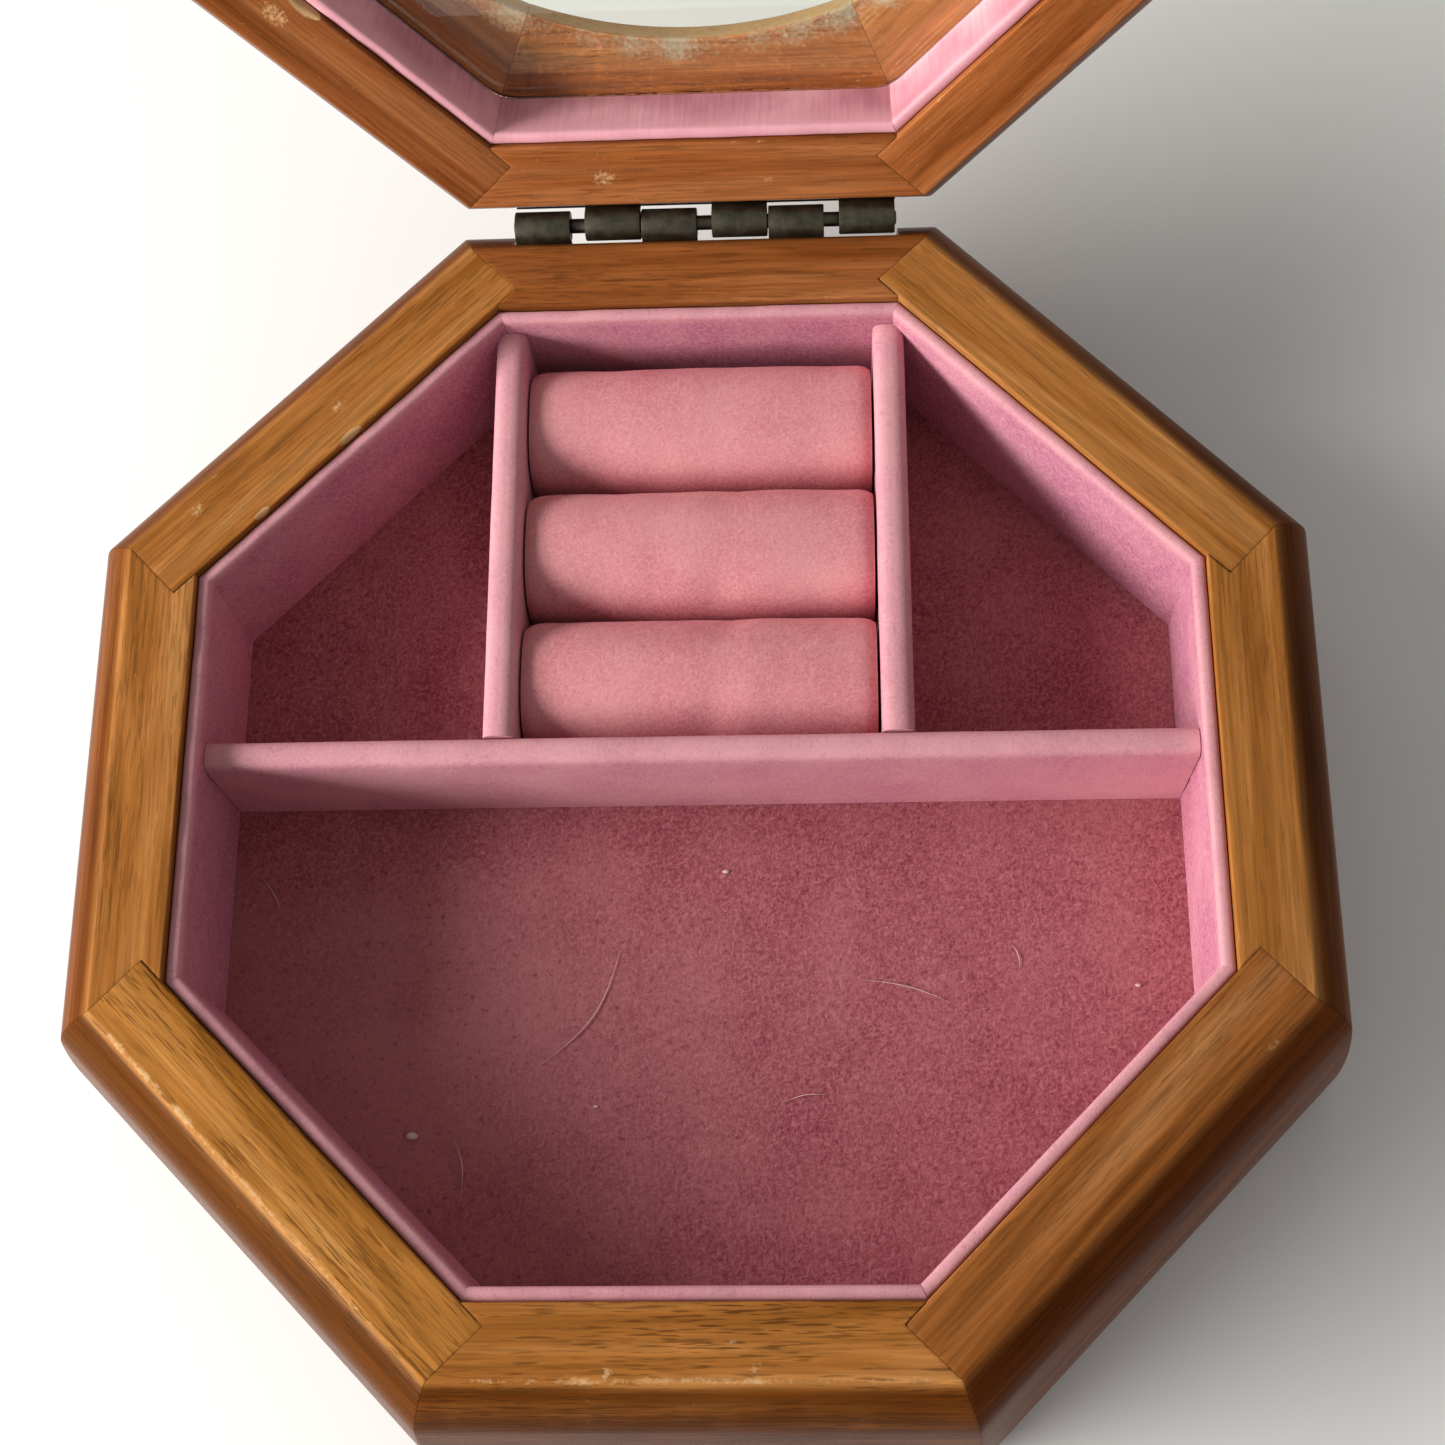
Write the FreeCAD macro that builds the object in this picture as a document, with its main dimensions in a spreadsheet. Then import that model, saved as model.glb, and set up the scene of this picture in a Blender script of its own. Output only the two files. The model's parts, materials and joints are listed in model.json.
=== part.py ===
"""Octagonal wooden jewelry box with a hinged, glazed lid and felt-lined compartments.

Millimetres, +Z up. The origin is on the table under the middle of the box, the front is at -Y and
the hinge at +Y. The lid stands open, as the box is shown when it is in use.
"""
import FreeCAD, Part
import math
import os

import Sketcher

Vector = FreeCAD.Vector

# Driving dimensions: alias, value and what it measures.
SIZES = [
    ("inside_across", 160.0, "body and lid, across flats inside the wood"),
    ("rim_width", 10.9, "flat rim where body and lid meet"),
    ("kink_length", 4.7, "point of a diagonal rail beyond its inner corner"),
    ("body_height", 44.0, "table to rim"),
    ("shoulder_out", 6.8, "body moulding: shoulder beyond the rim"),
    ("shoulder_drop", 9.5, "body moulding: shoulder below the rim"),
    ("shoulder_bulge", 1.27, "body moulding: rise of the round above the shoulder"),
    ("belly_out", 3.7, "body moulding: widest line beyond the shoulder"),
    ("belly_bulge", 0.56, "body moulding: rise of the round below the shoulder"),
    ("foot_height", 4.0, "body moulding: widest line above the table"),
    ("foot_in", 3.0, "body moulding: foot inside the widest line"),
    ("foot_bulge", 0.82, "body moulding: rise of the round of the foot"),
    ("panel_thickness", 5.0, "bottom panel"),
    ("panel_seat", 4.0, "bottom panel: width of its rebate in the rails"),
    ("panel_raise", 9.0, "bottom panel: underside above the table"),
    ("panel_gap", 0.2, "bottom panel and floor: clearance to the wood"),
    ("floor_thickness", 2.0, "felt-covered floor"),
    ("liner_thickness", 2.2, "felt-covered card liner"),
    ("liner_drop", 1.0, "liner: top below the rim"),
    ("felt_gap", 0.1, "clearance beside a felt-covered piece"),
    ("divider_drop", 4.5, "dividers: top below the rim"),
    ("divider_thickness", 4.6, "long divider"),
    ("divider_place", 4.1, "long divider: behind the middle of the box"),
    ("short_divider_thickness", 5.2, "short dividers"),
    ("short_divider_place", 31.4, "short dividers: beside the middle of the box"),
    ("roll_gap", 0.3, "ring rolls: from one to the next"),
    ("roll_height", 21.2, "ring roll: floor to crown"),
    ("roll_waist", 10.2, "ring roll: floor to its widest line"),
    ("roll_tuck", 3.45, "ring roll: flat underside inside the widest line"),
    ("roll_front_gap", 0.6, "ring rolls: first one behind the long divider"),
    ("roll_rear_gap", 2.2, "ring rolls: last one to the rear liner"),
    ("roll_end_gap", 0.3, "ring rolls: end to short divider"),
    ("roll_draw", 0.9, "ring roll: how far its ends are drawn in"),
    ("lid_gap", 0.4, "rim to rim when the lid is closed"),
    ("open_angle", 116.0, "lid: opening angle at its stop"),
    ("lid_flare_out", 5.7, "lid moulding: widest line beyond the rim"),
    ("lid_flare_rise", 10.5, "lid moulding: widest line from the rim"),
    ("lid_flare_bulge", 0.45, "lid moulding: rise of the round of the flare"),
    ("lid_round_in", 2.9, "lid moulding: end of the round inside the rim's edge"),
    ("lid_round_bulge", 3.7, "lid moulding: rise of the round over the outer edge"),
    ("lid_recess", 14.0, "lid: rim to the seat of the pane"),
    ("lid_cover", 6.0, "lid: seat of the pane to the outer end of the top slope"),
    ("window_ledge", 11.5, "lid: wood from the inner face to the round window hole"),
    ("hole_edge", 3.6, "wood thickness at the window hole"),
    ("strip_thickness", 2.0, "felt strip inside the lid"),
    ("strip_drop", 0.8, "felt strip: edge below the lid's rim"),
    ("pane_thickness", 2.8, "clear pane"),
    ("pane_corner", 7.0, "clear pane: round of its corners"),
    ("pane_gap", 0.2, "clear pane: clearance to the strips"),
    ("hinge_end", 6.4, "hinge: end to the joint of the rear rail, if it were in the middle"),
    ("hinge_shift", 1.3, "hinge: right of the middle of the box"),
    ("hinge_setback", 1.1, "hinge: flat for the leaves behind the rim's edge"),
    ("knuckle_play", 2.5, "hinge: worn gap between each pair of knuckles"),
    ("knuckle_gap", 0.2, "hinge: gap between knuckles that nearly touch"),
    ("barrel_radius", 2.5, "hinge: outside of a knuckle"),
    ("barrel_gap", 0.3, "hinge: knuckle to wood"),
    ("pin_radius", 1.2, "hinge pin"),
    ("pin_gap", 0.05, "hinge pin: running clearance"),
    ("pin_stand", 0.3, "hinge pin: end beyond the last knuckle"),
    ("leaf_thickness", 1.2, "hinge leaf"),
    ("leaf_height", 10.0, "hinge leaf: far edge from the pin's axis"),
    ("leaf_gap", 0.4, "hinge leaf: clearance round the other leaf's knuckles and in its recess"),
    ("screw_radius", 1.0, "hinge screw: shank"),
    ("screw_head_out", 0.9, "hinge screw: countersunk head beyond the shank"),
    ("screw_neck", 0.3, "hinge screw: straight hole under its head in the leaf"),
    ("screw_cover", 4.2, "hinge screw: tip to the inner face of the rail"),
    ("screw_tip", 2.0, "hinge screw: length of its point"),
    ("screw_end", 9.7, "hinge screws: outer ones to the ends of the hinge"),
    ("screw_gap", 0.05, "hinge screw: clearance"),
]

# Sides of the octagon, counted round from the front; each is turned by 45 degrees from the last.
SIDES = ["front", "front_right", "right", "rear_right", "rear", "rear_left", "left", "front_left"]
TURN = 45
MITRE = f"tan({TURN / 2})"
DIAGONAL = "sqrt(2)"
SCREWS_PER_LEAF = 3
KNUCKLE_PAIRS = 3
ROLLS = ["front_ring_roll", "middle_ring_roll", "rear_ring_roll"]
# Blanks and cuts run this far past the wood that they shape.
SPARE = 8
# Rise of a felt-covered round edge over its half width, a little under a half circle.
EDGE_RISE = 0.92

# Sizes that follow from the driving dimensions, as expressions over the sheet.
HALF_IN = "(Sizes.inside_across / 2)"
RIM_OUT = f"({HALF_IN} + Sizes.rim_width)"
SHOULDER = f"({RIM_OUT} + Sizes.shoulder_out)"
SHOULDER_Z = "(Sizes.body_height - Sizes.shoulder_drop)"
BELLY = f"({SHOULDER} + Sizes.belly_out)"
FOOT = f"({BELLY} - Sizes.foot_in)"
WOOD_END = f"({BELLY} + {SPARE})"
PANEL_TOP = "(Sizes.panel_raise + Sizes.panel_thickness)"
FLOOR_TOP = f"({PANEL_TOP} + Sizes.floor_thickness)"
LINER_OUT = f"({HALF_IN} - Sizes.felt_gap)"
LINER_IN = f"({LINER_OUT} - Sizes.liner_thickness)"
LINER_TOP = "(Sizes.body_height - Sizes.liner_drop)"
FELT_FACE = f"({LINER_IN} - Sizes.felt_gap)"
DIVIDER_TOP = "(Sizes.body_height - Sizes.divider_drop)"
DIVIDER_BACK = "(Sizes.divider_place + Sizes.divider_thickness / 2)"
ROLL_SPACE = f"({FELT_FACE} - {DIVIDER_BACK} - Sizes.roll_front_gap - Sizes.roll_rear_gap)"
ROLL_WIDTH = f"(({ROLL_SPACE} - {len(ROLLS) - 1} * Sizes.roll_gap) / {len(ROLLS)})"
FLARE = f"({RIM_OUT} + Sizes.lid_flare_out)"
LID_ROUND = f"({RIM_OUT} - Sizes.lid_round_in)"
LID_HEIGHT = "(Sizes.lid_recess + Sizes.lid_cover)"
WINDOW = f"({HALF_IN} - Sizes.window_ledge)"
STRIP_OUT = f"({HALF_IN} - Sizes.felt_gap)"
STRIP_IN = f"({STRIP_OUT} - Sizes.strip_thickness)"
LEAF_FACE = f"({RIM_OUT} + Sizes.hinge_setback)"
AXIS_Y = f"({LEAF_FACE} + Sizes.barrel_gap + Sizes.barrel_radius)"
AXIS_Z = "(Sizes.body_height + Sizes.lid_gap / 2)"
LID_FLOOR = "(Sizes.body_height + Sizes.lid_gap)"
HINGE_LENGTH = f"(2 * ({LEAF_FACE} * {MITRE} - Sizes.hinge_end))"
PAIR = f"({HINGE_LENGTH} / {KNUCKLE_PAIRS})"
KNUCKLE = f"(({PAIR} - Sizes.knuckle_play - Sizes.knuckle_gap) / 2)"
HINGE_START = f"(Sizes.hinge_shift - {HINGE_LENGTH} / 2)"
CUT_BACK = "(Sizes.barrel_radius + Sizes.leaf_gap)"
SCREW_LINE = f"(({CUT_BACK} + Sizes.leaf_height) / 2)"
HEAD_DEPTH = "(Sizes.leaf_thickness - Sizes.screw_neck)"
LEAF_BACK = f"({LEAF_FACE} + Sizes.leaf_thickness)"
SCREW_LENGTH = f"({LEAF_BACK} - {HALF_IN} - Sizes.screw_cover)"
SCREW_SPACING = f"(({HINGE_LENGTH} - 2 * Sizes.screw_end) / {SCREWS_PER_LEAF - 1})"
OPENED = f"placement(vector(0; {AXIS_Y}; {AXIS_Z}); rotationx(-Sizes.open_angle))"

# Directions of round pieces.
ALONG = Vector(1, 0, 0)
INWARD = Vector(0, -1, 0)

doc = FreeCAD.newDocument("JewelryBox")
sheet = doc.addObject("Spreadsheet::Sheet", "Sizes")
for row, (alias, number, note) in enumerate(SIZES, start=1):
    sheet.set(f"A{row}", note)
    sheet.set(f"B{row}", str(number))
    sheet.setAlias(f"B{row}", alias)
doc.recompute()

finished = []


def value(expression):
    """The number that an expression over the sheet gives now."""
    return float(sheet.evalExpression(str(expression)))


def bind(target, **expressions):
    """Tie properties of an object to expressions over the sheet."""
    for prop, expression in expressions.items():
        target.setExpression(prop.replace("__", "."), str(expression))


def place(target, x=0, y=0, z=0):
    """Tie an object's position to expressions over the sheet."""
    bind(target, Placement__Base__x=x, Placement__Base__y=y, Placement__Base__z=z)


def keep(target, label):
    """Name a finished sub-part."""
    target.Label = label
    finished.append(target)
    return target


def body_pose(turn=0):
    """Pose of a body piece that is drawn at the front and turned round the box."""
    return f"placement(vector(0; 0; 0); rotationz({turn}))"


def lid_pose(turn=0):
    """Pose of a lid piece that is drawn from the rim up at the front, with the lid open."""
    return f"{OPENED} * placement(vector(0; -{AXIS_Y}; {LID_FLOOR} - {AXIS_Z}); rotationz({turn}))"


def new_body(name, pose):
    """A PartDesign body in its pose."""
    made = doc.addObject("PartDesign::Body", name)
    made.setExpression("Placement", pose)
    return made


def new_sketch(body, name, plane, offset=None):
    """A sketch on one of the body's own origin planes, moved along its normal by offset."""
    sketch = body.newObject("Sketcher::SketchObject", name)
    support = [feature for feature in body.Origin.OriginFeatures if feature.Role == plane][0]
    sketch.AttachmentSupport = (support, [""])
    sketch.MapMode = "FlatFace"
    if offset is not None:
        bind(sketch, AttachmentOffset__Base__z=offset)
    return sketch


def tie(sketch, kind, geometry, point, expression):
    """Dimension one point of a sketch from its origin, or a radius, by an expression."""
    number = value(expression)
    if kind == "Radius":
        made = sketch.addConstraint(Sketcher.Constraint(kind, geometry, number))
    else:
        made = sketch.addConstraint(Sketcher.Constraint(kind, -1, 1, geometry, point, number))
    sketch.setExpression(f"Constraints[{made}]", str(expression))


def arc_between(first, last, radius):
    """Arc from first to last; a positive radius runs anticlockwise, a negative one clockwise."""
    if radius < 0:
        first, last = last, first
    chord = last - first
    middle = (first + last) / 2
    side = Vector(-chord.y, chord.x, 0).normalize()
    centre = middle + side * math.sqrt(radius ** 2 - (chord.Length / 2) ** 2)
    start = math.atan2(first.y - centre.y, first.x - centre.x)
    end = math.atan2(last.y - centre.y, last.x - centre.x)
    if end < start:
        end += 2 * math.pi
    return Part.ArcOfCircle(Part.Circle(centre, Vector(0, 0, 1), abs(radius)), start, end)


def outline(sketch, corners):
    """Closed outline. A corner is (x, y), or (x, y, radius) where an arc runs on to the next one."""
    points = [Vector(value(corner[0]), value(corner[1]), 0) for corner in corners]
    ends = []
    for index, corner in enumerate(corners):
        first = points[index]
        last = points[(index + 1) % len(points)]
        if len(corner) == 2:
            edge = sketch.addGeometry(Part.LineSegment(first, last), False)
            ends.append((edge, 1, 2))
        else:
            radius = value(corner[2])
            edge = sketch.addGeometry(arc_between(first, last, radius), False)
            ends.append((edge, 1, 2) if radius > 0 else (edge, 2, 1))
    for index, corner in enumerate(corners):
        edge, start, end = ends[index]
        after, after_start, after_end = ends[(index + 1) % len(ends)]
        sketch.addConstraint(Sketcher.Constraint("Coincident", edge, end, after, after_start))
        tie(sketch, "DistanceX", edge, start, corner[0])
        tie(sketch, "DistanceY", edge, start, corner[1])
        if len(corner) == 3:
            tie(sketch, "Radius", edge, 0, f"abs({corner[2]})")
    return sketch


def circle(sketch, x, y, radius):
    """Dimensioned circle."""
    centre = Vector(value(x), value(y), 0)
    made = sketch.addGeometry(Part.Circle(centre, Vector(0, 0, 1), value(radius)), False)
    tie(sketch, "DistanceX", made, 3, x)
    tie(sketch, "DistanceY", made, 3, y)
    tie(sketch, "Radius", made, 0, radius)
    return sketch


def pad(body, sketch, length, both_sides=False):
    """Pad a sketch along its normal, or by half the length to each side."""
    made = body.newObject("PartDesign::Pad", f"{sketch.Name}_pad")
    made.Profile = sketch
    made.Midplane = both_sides
    bind(made, Length=length)
    return made


def pocket(body, sketch, depth=None):
    """Cut a sketch against its normal by a depth, or right through both ways."""
    made = body.newObject("PartDesign::Pocket", f"{sketch.Name}_pocket")
    made.Profile = sketch
    if depth is None:
        made.Type = "ThroughAll"
        made.Midplane = True
    else:
        bind(made, Length=depth)
    return made


def joint_path(pointed, inner_end):
    """Right-hand end of a rail in plan, from inside the ring to outside its moulding."""
    corner = (f"{HALF_IN} * {MITRE}", f"-{HALF_IN}")
    if pointed:
        kink = (f"{HALF_IN} * {MITRE} + Sizes.kink_length", f"-{HALF_IN}")
    else:
        into = f"Sizes.kink_length / {DIAGONAL}"
        kink = (f"{HALF_IN} * {MITRE} - {into}", f"-{HALF_IN} - {into}")
    return [
        (f"{inner_end} * {MITRE}", f"-{inner_end}"),
        corner,
        kink,
        (f"{RIM_OUT} * {MITRE}", f"-{RIM_OUT}"),
        (f"{WOOD_END} * {MITRE}", f"-{WOOD_END}"),
    ]


def cut_ends(body, name, pointed, inner_end):
    """Cut both ends of a rail blank to the joint's path."""
    path = joint_path(pointed, inner_end)
    waste_x = f"({WOOD_END} * {MITRE} + {SPARE})"
    for end, sign in (("right", ""), ("left", "-")):
        corners = [(f"{sign}({x})", y) for x, y in path]
        corners.append((f"{sign}{waste_x}", f"-{WOOD_END}"))
        corners.append((f"{sign}{waste_x}", f"-{inner_end}"))
        pocket(body, outline(new_sketch(body, f"{name}_{end}_end", "XY_Plane"), corners))


def rail_blank(body, name, section):
    """Moulded stock, longer than any rail, with its section drawn at the front of the box."""
    sketch = outline(new_sketch(body, f"{name}_section", "YZ_Plane"), section)
    pad(body, sketch, f"2 * ({WOOD_END} * {MITRE} + {SPARE} / 2)", both_sides=True)


def cut_hinge_seat(body, name, top, screw_height):
    """Flat recess, down from its top, and pilot holes for a hinge leaf in a rear rail."""
    half = f"({HINGE_LENGTH} / 2 + Sizes.leaf_gap)"
    left = f"-Sizes.hinge_shift - {half}"
    right = f"-Sizes.hinge_shift + {half}"
    recess = new_sketch(body, f"{name}_hinge_recess", "XY_Plane", top)
    outline(recess, [
        (left, f"-{WOOD_END}"),
        (right, f"-{WOOD_END}"),
        (right, f"-{LEAF_FACE}"),
        (left, f"-{LEAF_FACE}"),
    ])
    pocket(body, recess, "Sizes.leaf_height + Sizes.leaf_gap")
    holes = new_sketch(body, f"{name}_pilot_holes", "XZ_Plane", LEAF_FACE)
    for number in range(SCREWS_PER_LEAF):
        circle(holes, f"-{screw_x(number)}", screw_height, "Sizes.screw_radius + Sizes.screw_gap")
    pocket(body, holes, f"{SCREW_LENGTH} - Sizes.leaf_thickness + Sizes.leaf_gap")


def screw_x(number):
    """Place of a hinge screw along the hinge."""
    return f"(Sizes.hinge_shift + ({number - (SCREWS_PER_LEAF - 1) / 2}) * {SCREW_SPACING})"


def dome(half, rise):
    """Radius of the arc over a width of twice half that rises by rise."""
    return f"(({half} ^ 2 + {rise} ^ 2) / (2 * {rise}))"


def swell(across, along, rise):
    """Radius of the arc between two points, across and along apart, that rises by rise from its chord."""
    return dome(f"(sqrt({across} ^ 2 + {along} ^ 2) / 2)", rise)


def round_edge(half):
    """Rise and radius of a rounded edge over a width of twice half."""
    rise = f"({EDGE_RISE} * {half})"
    return rise, dome(half, rise)


def body_rail(index):
    """One side of the body: moulded outside, rebated below for the bottom panel."""
    name = f"{SIDES[index]}_rail"
    body = new_body(name, body_pose(index * TURN))
    seat = f"-({HALF_IN} + Sizes.panel_seat)"
    shoulder_arc = swell("Sizes.shoulder_out", "Sizes.shoulder_drop", "Sizes.shoulder_bulge")
    belly_arc = swell("Sizes.belly_out", f"({SHOULDER_Z} - Sizes.foot_height)", "Sizes.belly_bulge")
    foot_arc = swell("Sizes.foot_in", "Sizes.foot_height", "Sizes.foot_bulge")
    rail_blank(body, name, [
        (f"-{HALF_IN}", "Sizes.body_height"),
        (f"-{RIM_OUT}", "Sizes.body_height", shoulder_arc),
        (f"-{SHOULDER}", SHOULDER_Z, belly_arc),
        (f"-{BELLY}", "Sizes.foot_height", foot_arc),
        (f"-{FOOT}", "0"),
        (seat, "0"),
        (seat, PANEL_TOP),
        (f"-{HALF_IN}", PANEL_TOP),
    ])
    cut_ends(body, name, index % 2 == 1, f"({HALF_IN} - {SPARE})")
    if SIDES[index] == "rear":
        cut_hinge_seat(body, name, "Sizes.body_height", f"{AXIS_Z} - {SCREW_LINE}")
    keep(body, name)


def lid_rail(index):
    """One side of the lid: a board from the rim to the window hole, recessed for the pane."""
    name = f"lid_{SIDES[index]}_rail"
    body = new_body(name, lid_pose(index * TURN))
    board_end = f"({WINDOW} * cos({TURN / 2}) - {SPARE} / 2)"
    round_rise = f"({LID_HEIGHT} - Sizes.lid_flare_rise)"
    round_arc = swell(f"({FLARE} - {LID_ROUND})", round_rise, "Sizes.lid_round_bulge")
    flare_arc = swell("Sizes.lid_flare_out", "Sizes.lid_flare_rise", "Sizes.lid_flare_bulge")
    rail_blank(body, name, [
        (f"-{HALF_IN}", "0"),
        (f"-{HALF_IN}", "Sizes.lid_recess"),
        (f"-{board_end}", "Sizes.lid_recess"),
        (f"-{board_end}", "Sizes.lid_recess + Sizes.hole_edge"),
        (f"-{LID_ROUND}", LID_HEIGHT, round_arc),
        (f"-{FLARE}", "Sizes.lid_flare_rise", flare_arc),
        (f"-{RIM_OUT}", "0"),
    ])
    cut_ends(body, name, index % 2 == 1, f"({board_end} - {SPARE})")
    pocket(body, circle(new_sketch(body, f"{name}_window", "XY_Plane"), "0", "0", WINDOW))
    if SIDES[index] == "rear":
        axis = f"{AXIS_Z} - {LID_FLOOR}"
        top = f"{axis} + Sizes.leaf_height + Sizes.leaf_gap"
        cut_hinge_seat(body, name, top, f"{axis} + {SCREW_LINE}")
    keep(body, name)


def felt_strip(name, pose, outside, inside, low, high, round_high):
    """Felt-covered strip along one side, mitred at both ends, with its free edge rounded."""
    body = new_body(name, pose)
    rise, radius = round_edge(f"(({outside} - {inside}) / 2)")
    if round_high:
        section = [
            (f"-{inside}", low),
            (f"-{inside}", f"{high} - {rise}", radius),
            (f"-{outside}", f"{high} - {rise}"),
            (f"-{outside}", low),
        ]
    else:
        section = [
            (f"-{inside}", high),
            (f"-{outside}", high),
            (f"-{outside}", f"{low} + {rise}", radius),
            (f"-{inside}", f"{low} + {rise}"),
        ]
    sketch = outline(new_sketch(body, f"{name}_section", "YZ_Plane"), section)
    pad(body, sketch, f"2 * {outside}", both_sides=True)
    for end, sign in (("right", ""), ("left", "-")):
        far = f"{sign}({outside} + {SPARE})"
        pocket(body, outline(new_sketch(body, f"{name}_{end}_mitre", "XY_Plane"), [
            (f"{sign}(({inside} - {SPARE}) * {MITRE} - Sizes.felt_gap / 2)", f"-({inside} - {SPARE})"),
            (f"{sign}(({outside} + {SPARE}) * {MITRE} - Sizes.felt_gap / 2)", f"-({outside} + {SPARE})"),
            (far, f"-({outside} + {SPARE})"),
            (far, f"-({inside} - {SPARE})"),
        ]))
    return keep(body, name)


def octagon(half, corner_radius=None):
    """Corners of an octagon by its half width across flats, sharp or with rounded corners."""
    corners = []
    for index in range(len(SIDES)):
        angle = (index - 0.5) * TURN
        if corner_radius is None:
            size = f"{half} / cos({TURN / 2})"
            corners.append((f"{size} * sin({angle})", f"-{size} * cos({angle})"))
            continue
        run = f"({corner_radius}) * {MITRE}"
        reach = f"({half}) * {MITRE} - {run}"
        before = angle - TURN / 2
        after = angle + TURN / 2
        for turn, along, radius in ((before, reach, corner_radius), (after, f"-({reach})", None)):
            x = f"({half}) * sin({turn}) + ({along}) * cos({turn})"
            y = f"-({half}) * cos({turn}) + ({along}) * sin({turn})"
            corners.append((x, y) if radius is None else (x, y, radius))
    return corners


def plate(name, pose, half, low, thickness, corner_radius=None):
    """Octagonal plate from a height up."""
    body = new_body(name, pose)
    sketch = new_sketch(body, f"{name}_plan", "XY_Plane", low)
    pad(body, outline(sketch, octagon(half, corner_radius)), thickness)
    return keep(body, name)


def divider_section(middle, thickness):
    """Upright board on the floor with a rounded top, about a middle line."""
    half = f"({thickness} / 2)"
    rise, radius = round_edge(half)
    return [
        (f"{middle} - {half}", FLOOR_TOP),
        (f"{middle} + {half}", FLOOR_TOP),
        (f"{middle} + {half}", f"{DIVIDER_TOP} - {rise}", radius),
        (f"{middle} - {half}", f"{DIVIDER_TOP} - {rise}"),
    ]


def long_divider():
    """Divider across the box, from the left liner to the right one."""
    name = "long_divider"
    body = new_body(name, body_pose())
    section = divider_section("Sizes.divider_place", "Sizes.divider_thickness")
    sketch = outline(new_sketch(body, f"{name}_section", "YZ_Plane"), section)
    pad(body, sketch, f"2 * {FELT_FACE}", both_sides=True)
    keep(body, name)


def short_divider(name, side):
    """Divider from the long one back to the rear liner, its end cut to the corner of the liners."""
    body = new_body(name, body_pose())
    middle = f"{side} * Sizes.short_divider_place"
    front = f"({DIVIDER_BACK} + Sizes.felt_gap)"
    section = divider_section(middle, "Sizes.short_divider_thickness")
    sketch = new_sketch(body, f"{name}_section", "XZ_Plane", f"-{FELT_FACE}")
    pad(body, outline(sketch, section), f"{FELT_FACE} - {front}")
    reach = f"({FELT_FACE} * {DIAGONAL})"
    inner = "(Sizes.short_divider_place - Sizes.short_divider_thickness)"
    outer = "(Sizes.short_divider_place + Sizes.short_divider_thickness)"
    pocket(body, outline(new_sketch(body, f"{name}_corner", "XY_Plane"), [
        (f"{side} * {inner}", f"{reach} - {inner}"),
        (f"{side} * {outer}", f"{reach} - {outer}"),
        (f"{side} * {outer}", reach),
        (f"{side} * {inner}", reach),
    ]))
    keep(body, name)


def ring_roll(index):
    """Felt roll with a domed top, full in the middle and drawn in at its ends."""
    name = ROLLS[index]
    body = new_body(name, body_pose())
    front = f"({DIVIDER_BACK} + Sizes.roll_front_gap)"
    middle = f"({front} + {ROLL_WIDTH} / 2 + {index} * ({ROLL_WIDTH} + Sizes.roll_gap))"
    reach = "(Sizes.short_divider_place - Sizes.short_divider_thickness / 2 - Sizes.roll_end_gap)"
    sections = []
    for spot, offset, draw in (("left", f"-{reach}", 1), ("middle", "0", 0), ("right", reach, 1)):
        half = f"({ROLL_WIDTH} / 2 - {draw} * Sizes.roll_draw)"
        base = f"({half} - Sizes.roll_tuck)"
        waist = "Sizes.roll_waist"
        rise = f"(Sizes.roll_height - {draw} * Sizes.roll_draw - {waist})"
        flank = dome(waist, "Sizes.roll_tuck")
        crown = dome(half, rise)
        sections.append(outline(new_sketch(body, f"{name}_{spot}", "YZ_Plane", offset), [
            (f"{middle} - {base}", FLOOR_TOP),
            (f"{middle} + {base}", FLOOR_TOP, flank),
            (f"{middle} + {half}", f"{FLOOR_TOP} + {waist}", crown),
            (f"{middle} - {half}", f"{FLOOR_TOP} + {waist}", flank),
        ]))
    loft = body.newObject("PartDesign::AdditiveLoft", f"{name}_loft")
    loft.Profile = sections[0]
    loft.Sections = sections[1:]
    keep(body, name)


def box(name, low, size):
    """Box from its low corner and its size."""
    made = doc.addObject("Part::Box", name)
    place(made, *low)
    bind(made, Length=size[0], Width=size[1], Height=size[2])
    return made


def cylinder(name, start, radius, length, axis):
    """Cylinder along an axis, from a start point."""
    made = doc.addObject("Part::Cylinder", name)
    made.Placement.Rotation = FreeCAD.Rotation(Vector(0, 0, 1), axis)
    place(made, *start)
    bind(made, Radius=radius, Height=length)
    return made


def cone(name, start, radius, end_radius, length, axis):
    """Cone along an axis, from a start point."""
    made = doc.addObject("Part::Cone", name)
    made.Placement.Rotation = FreeCAD.Rotation(Vector(0, 0, 1), axis)
    place(made, *start)
    bind(made, Radius1=radius, Radius2=end_radius, Height=length)
    return made


def fuse(name, shapes):
    """One solid from overlapping shapes."""
    made = doc.addObject("Part::MultiFuse", name)
    made.Shapes = shapes
    made.Refine = True
    return made


def cut(name, base, tools):
    """A shape less some others."""
    made = doc.addObject("Part::Cut", name)
    made.Base = base
    made.Tool = fuse(f"{name}_cuts", tools)
    return made


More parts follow.
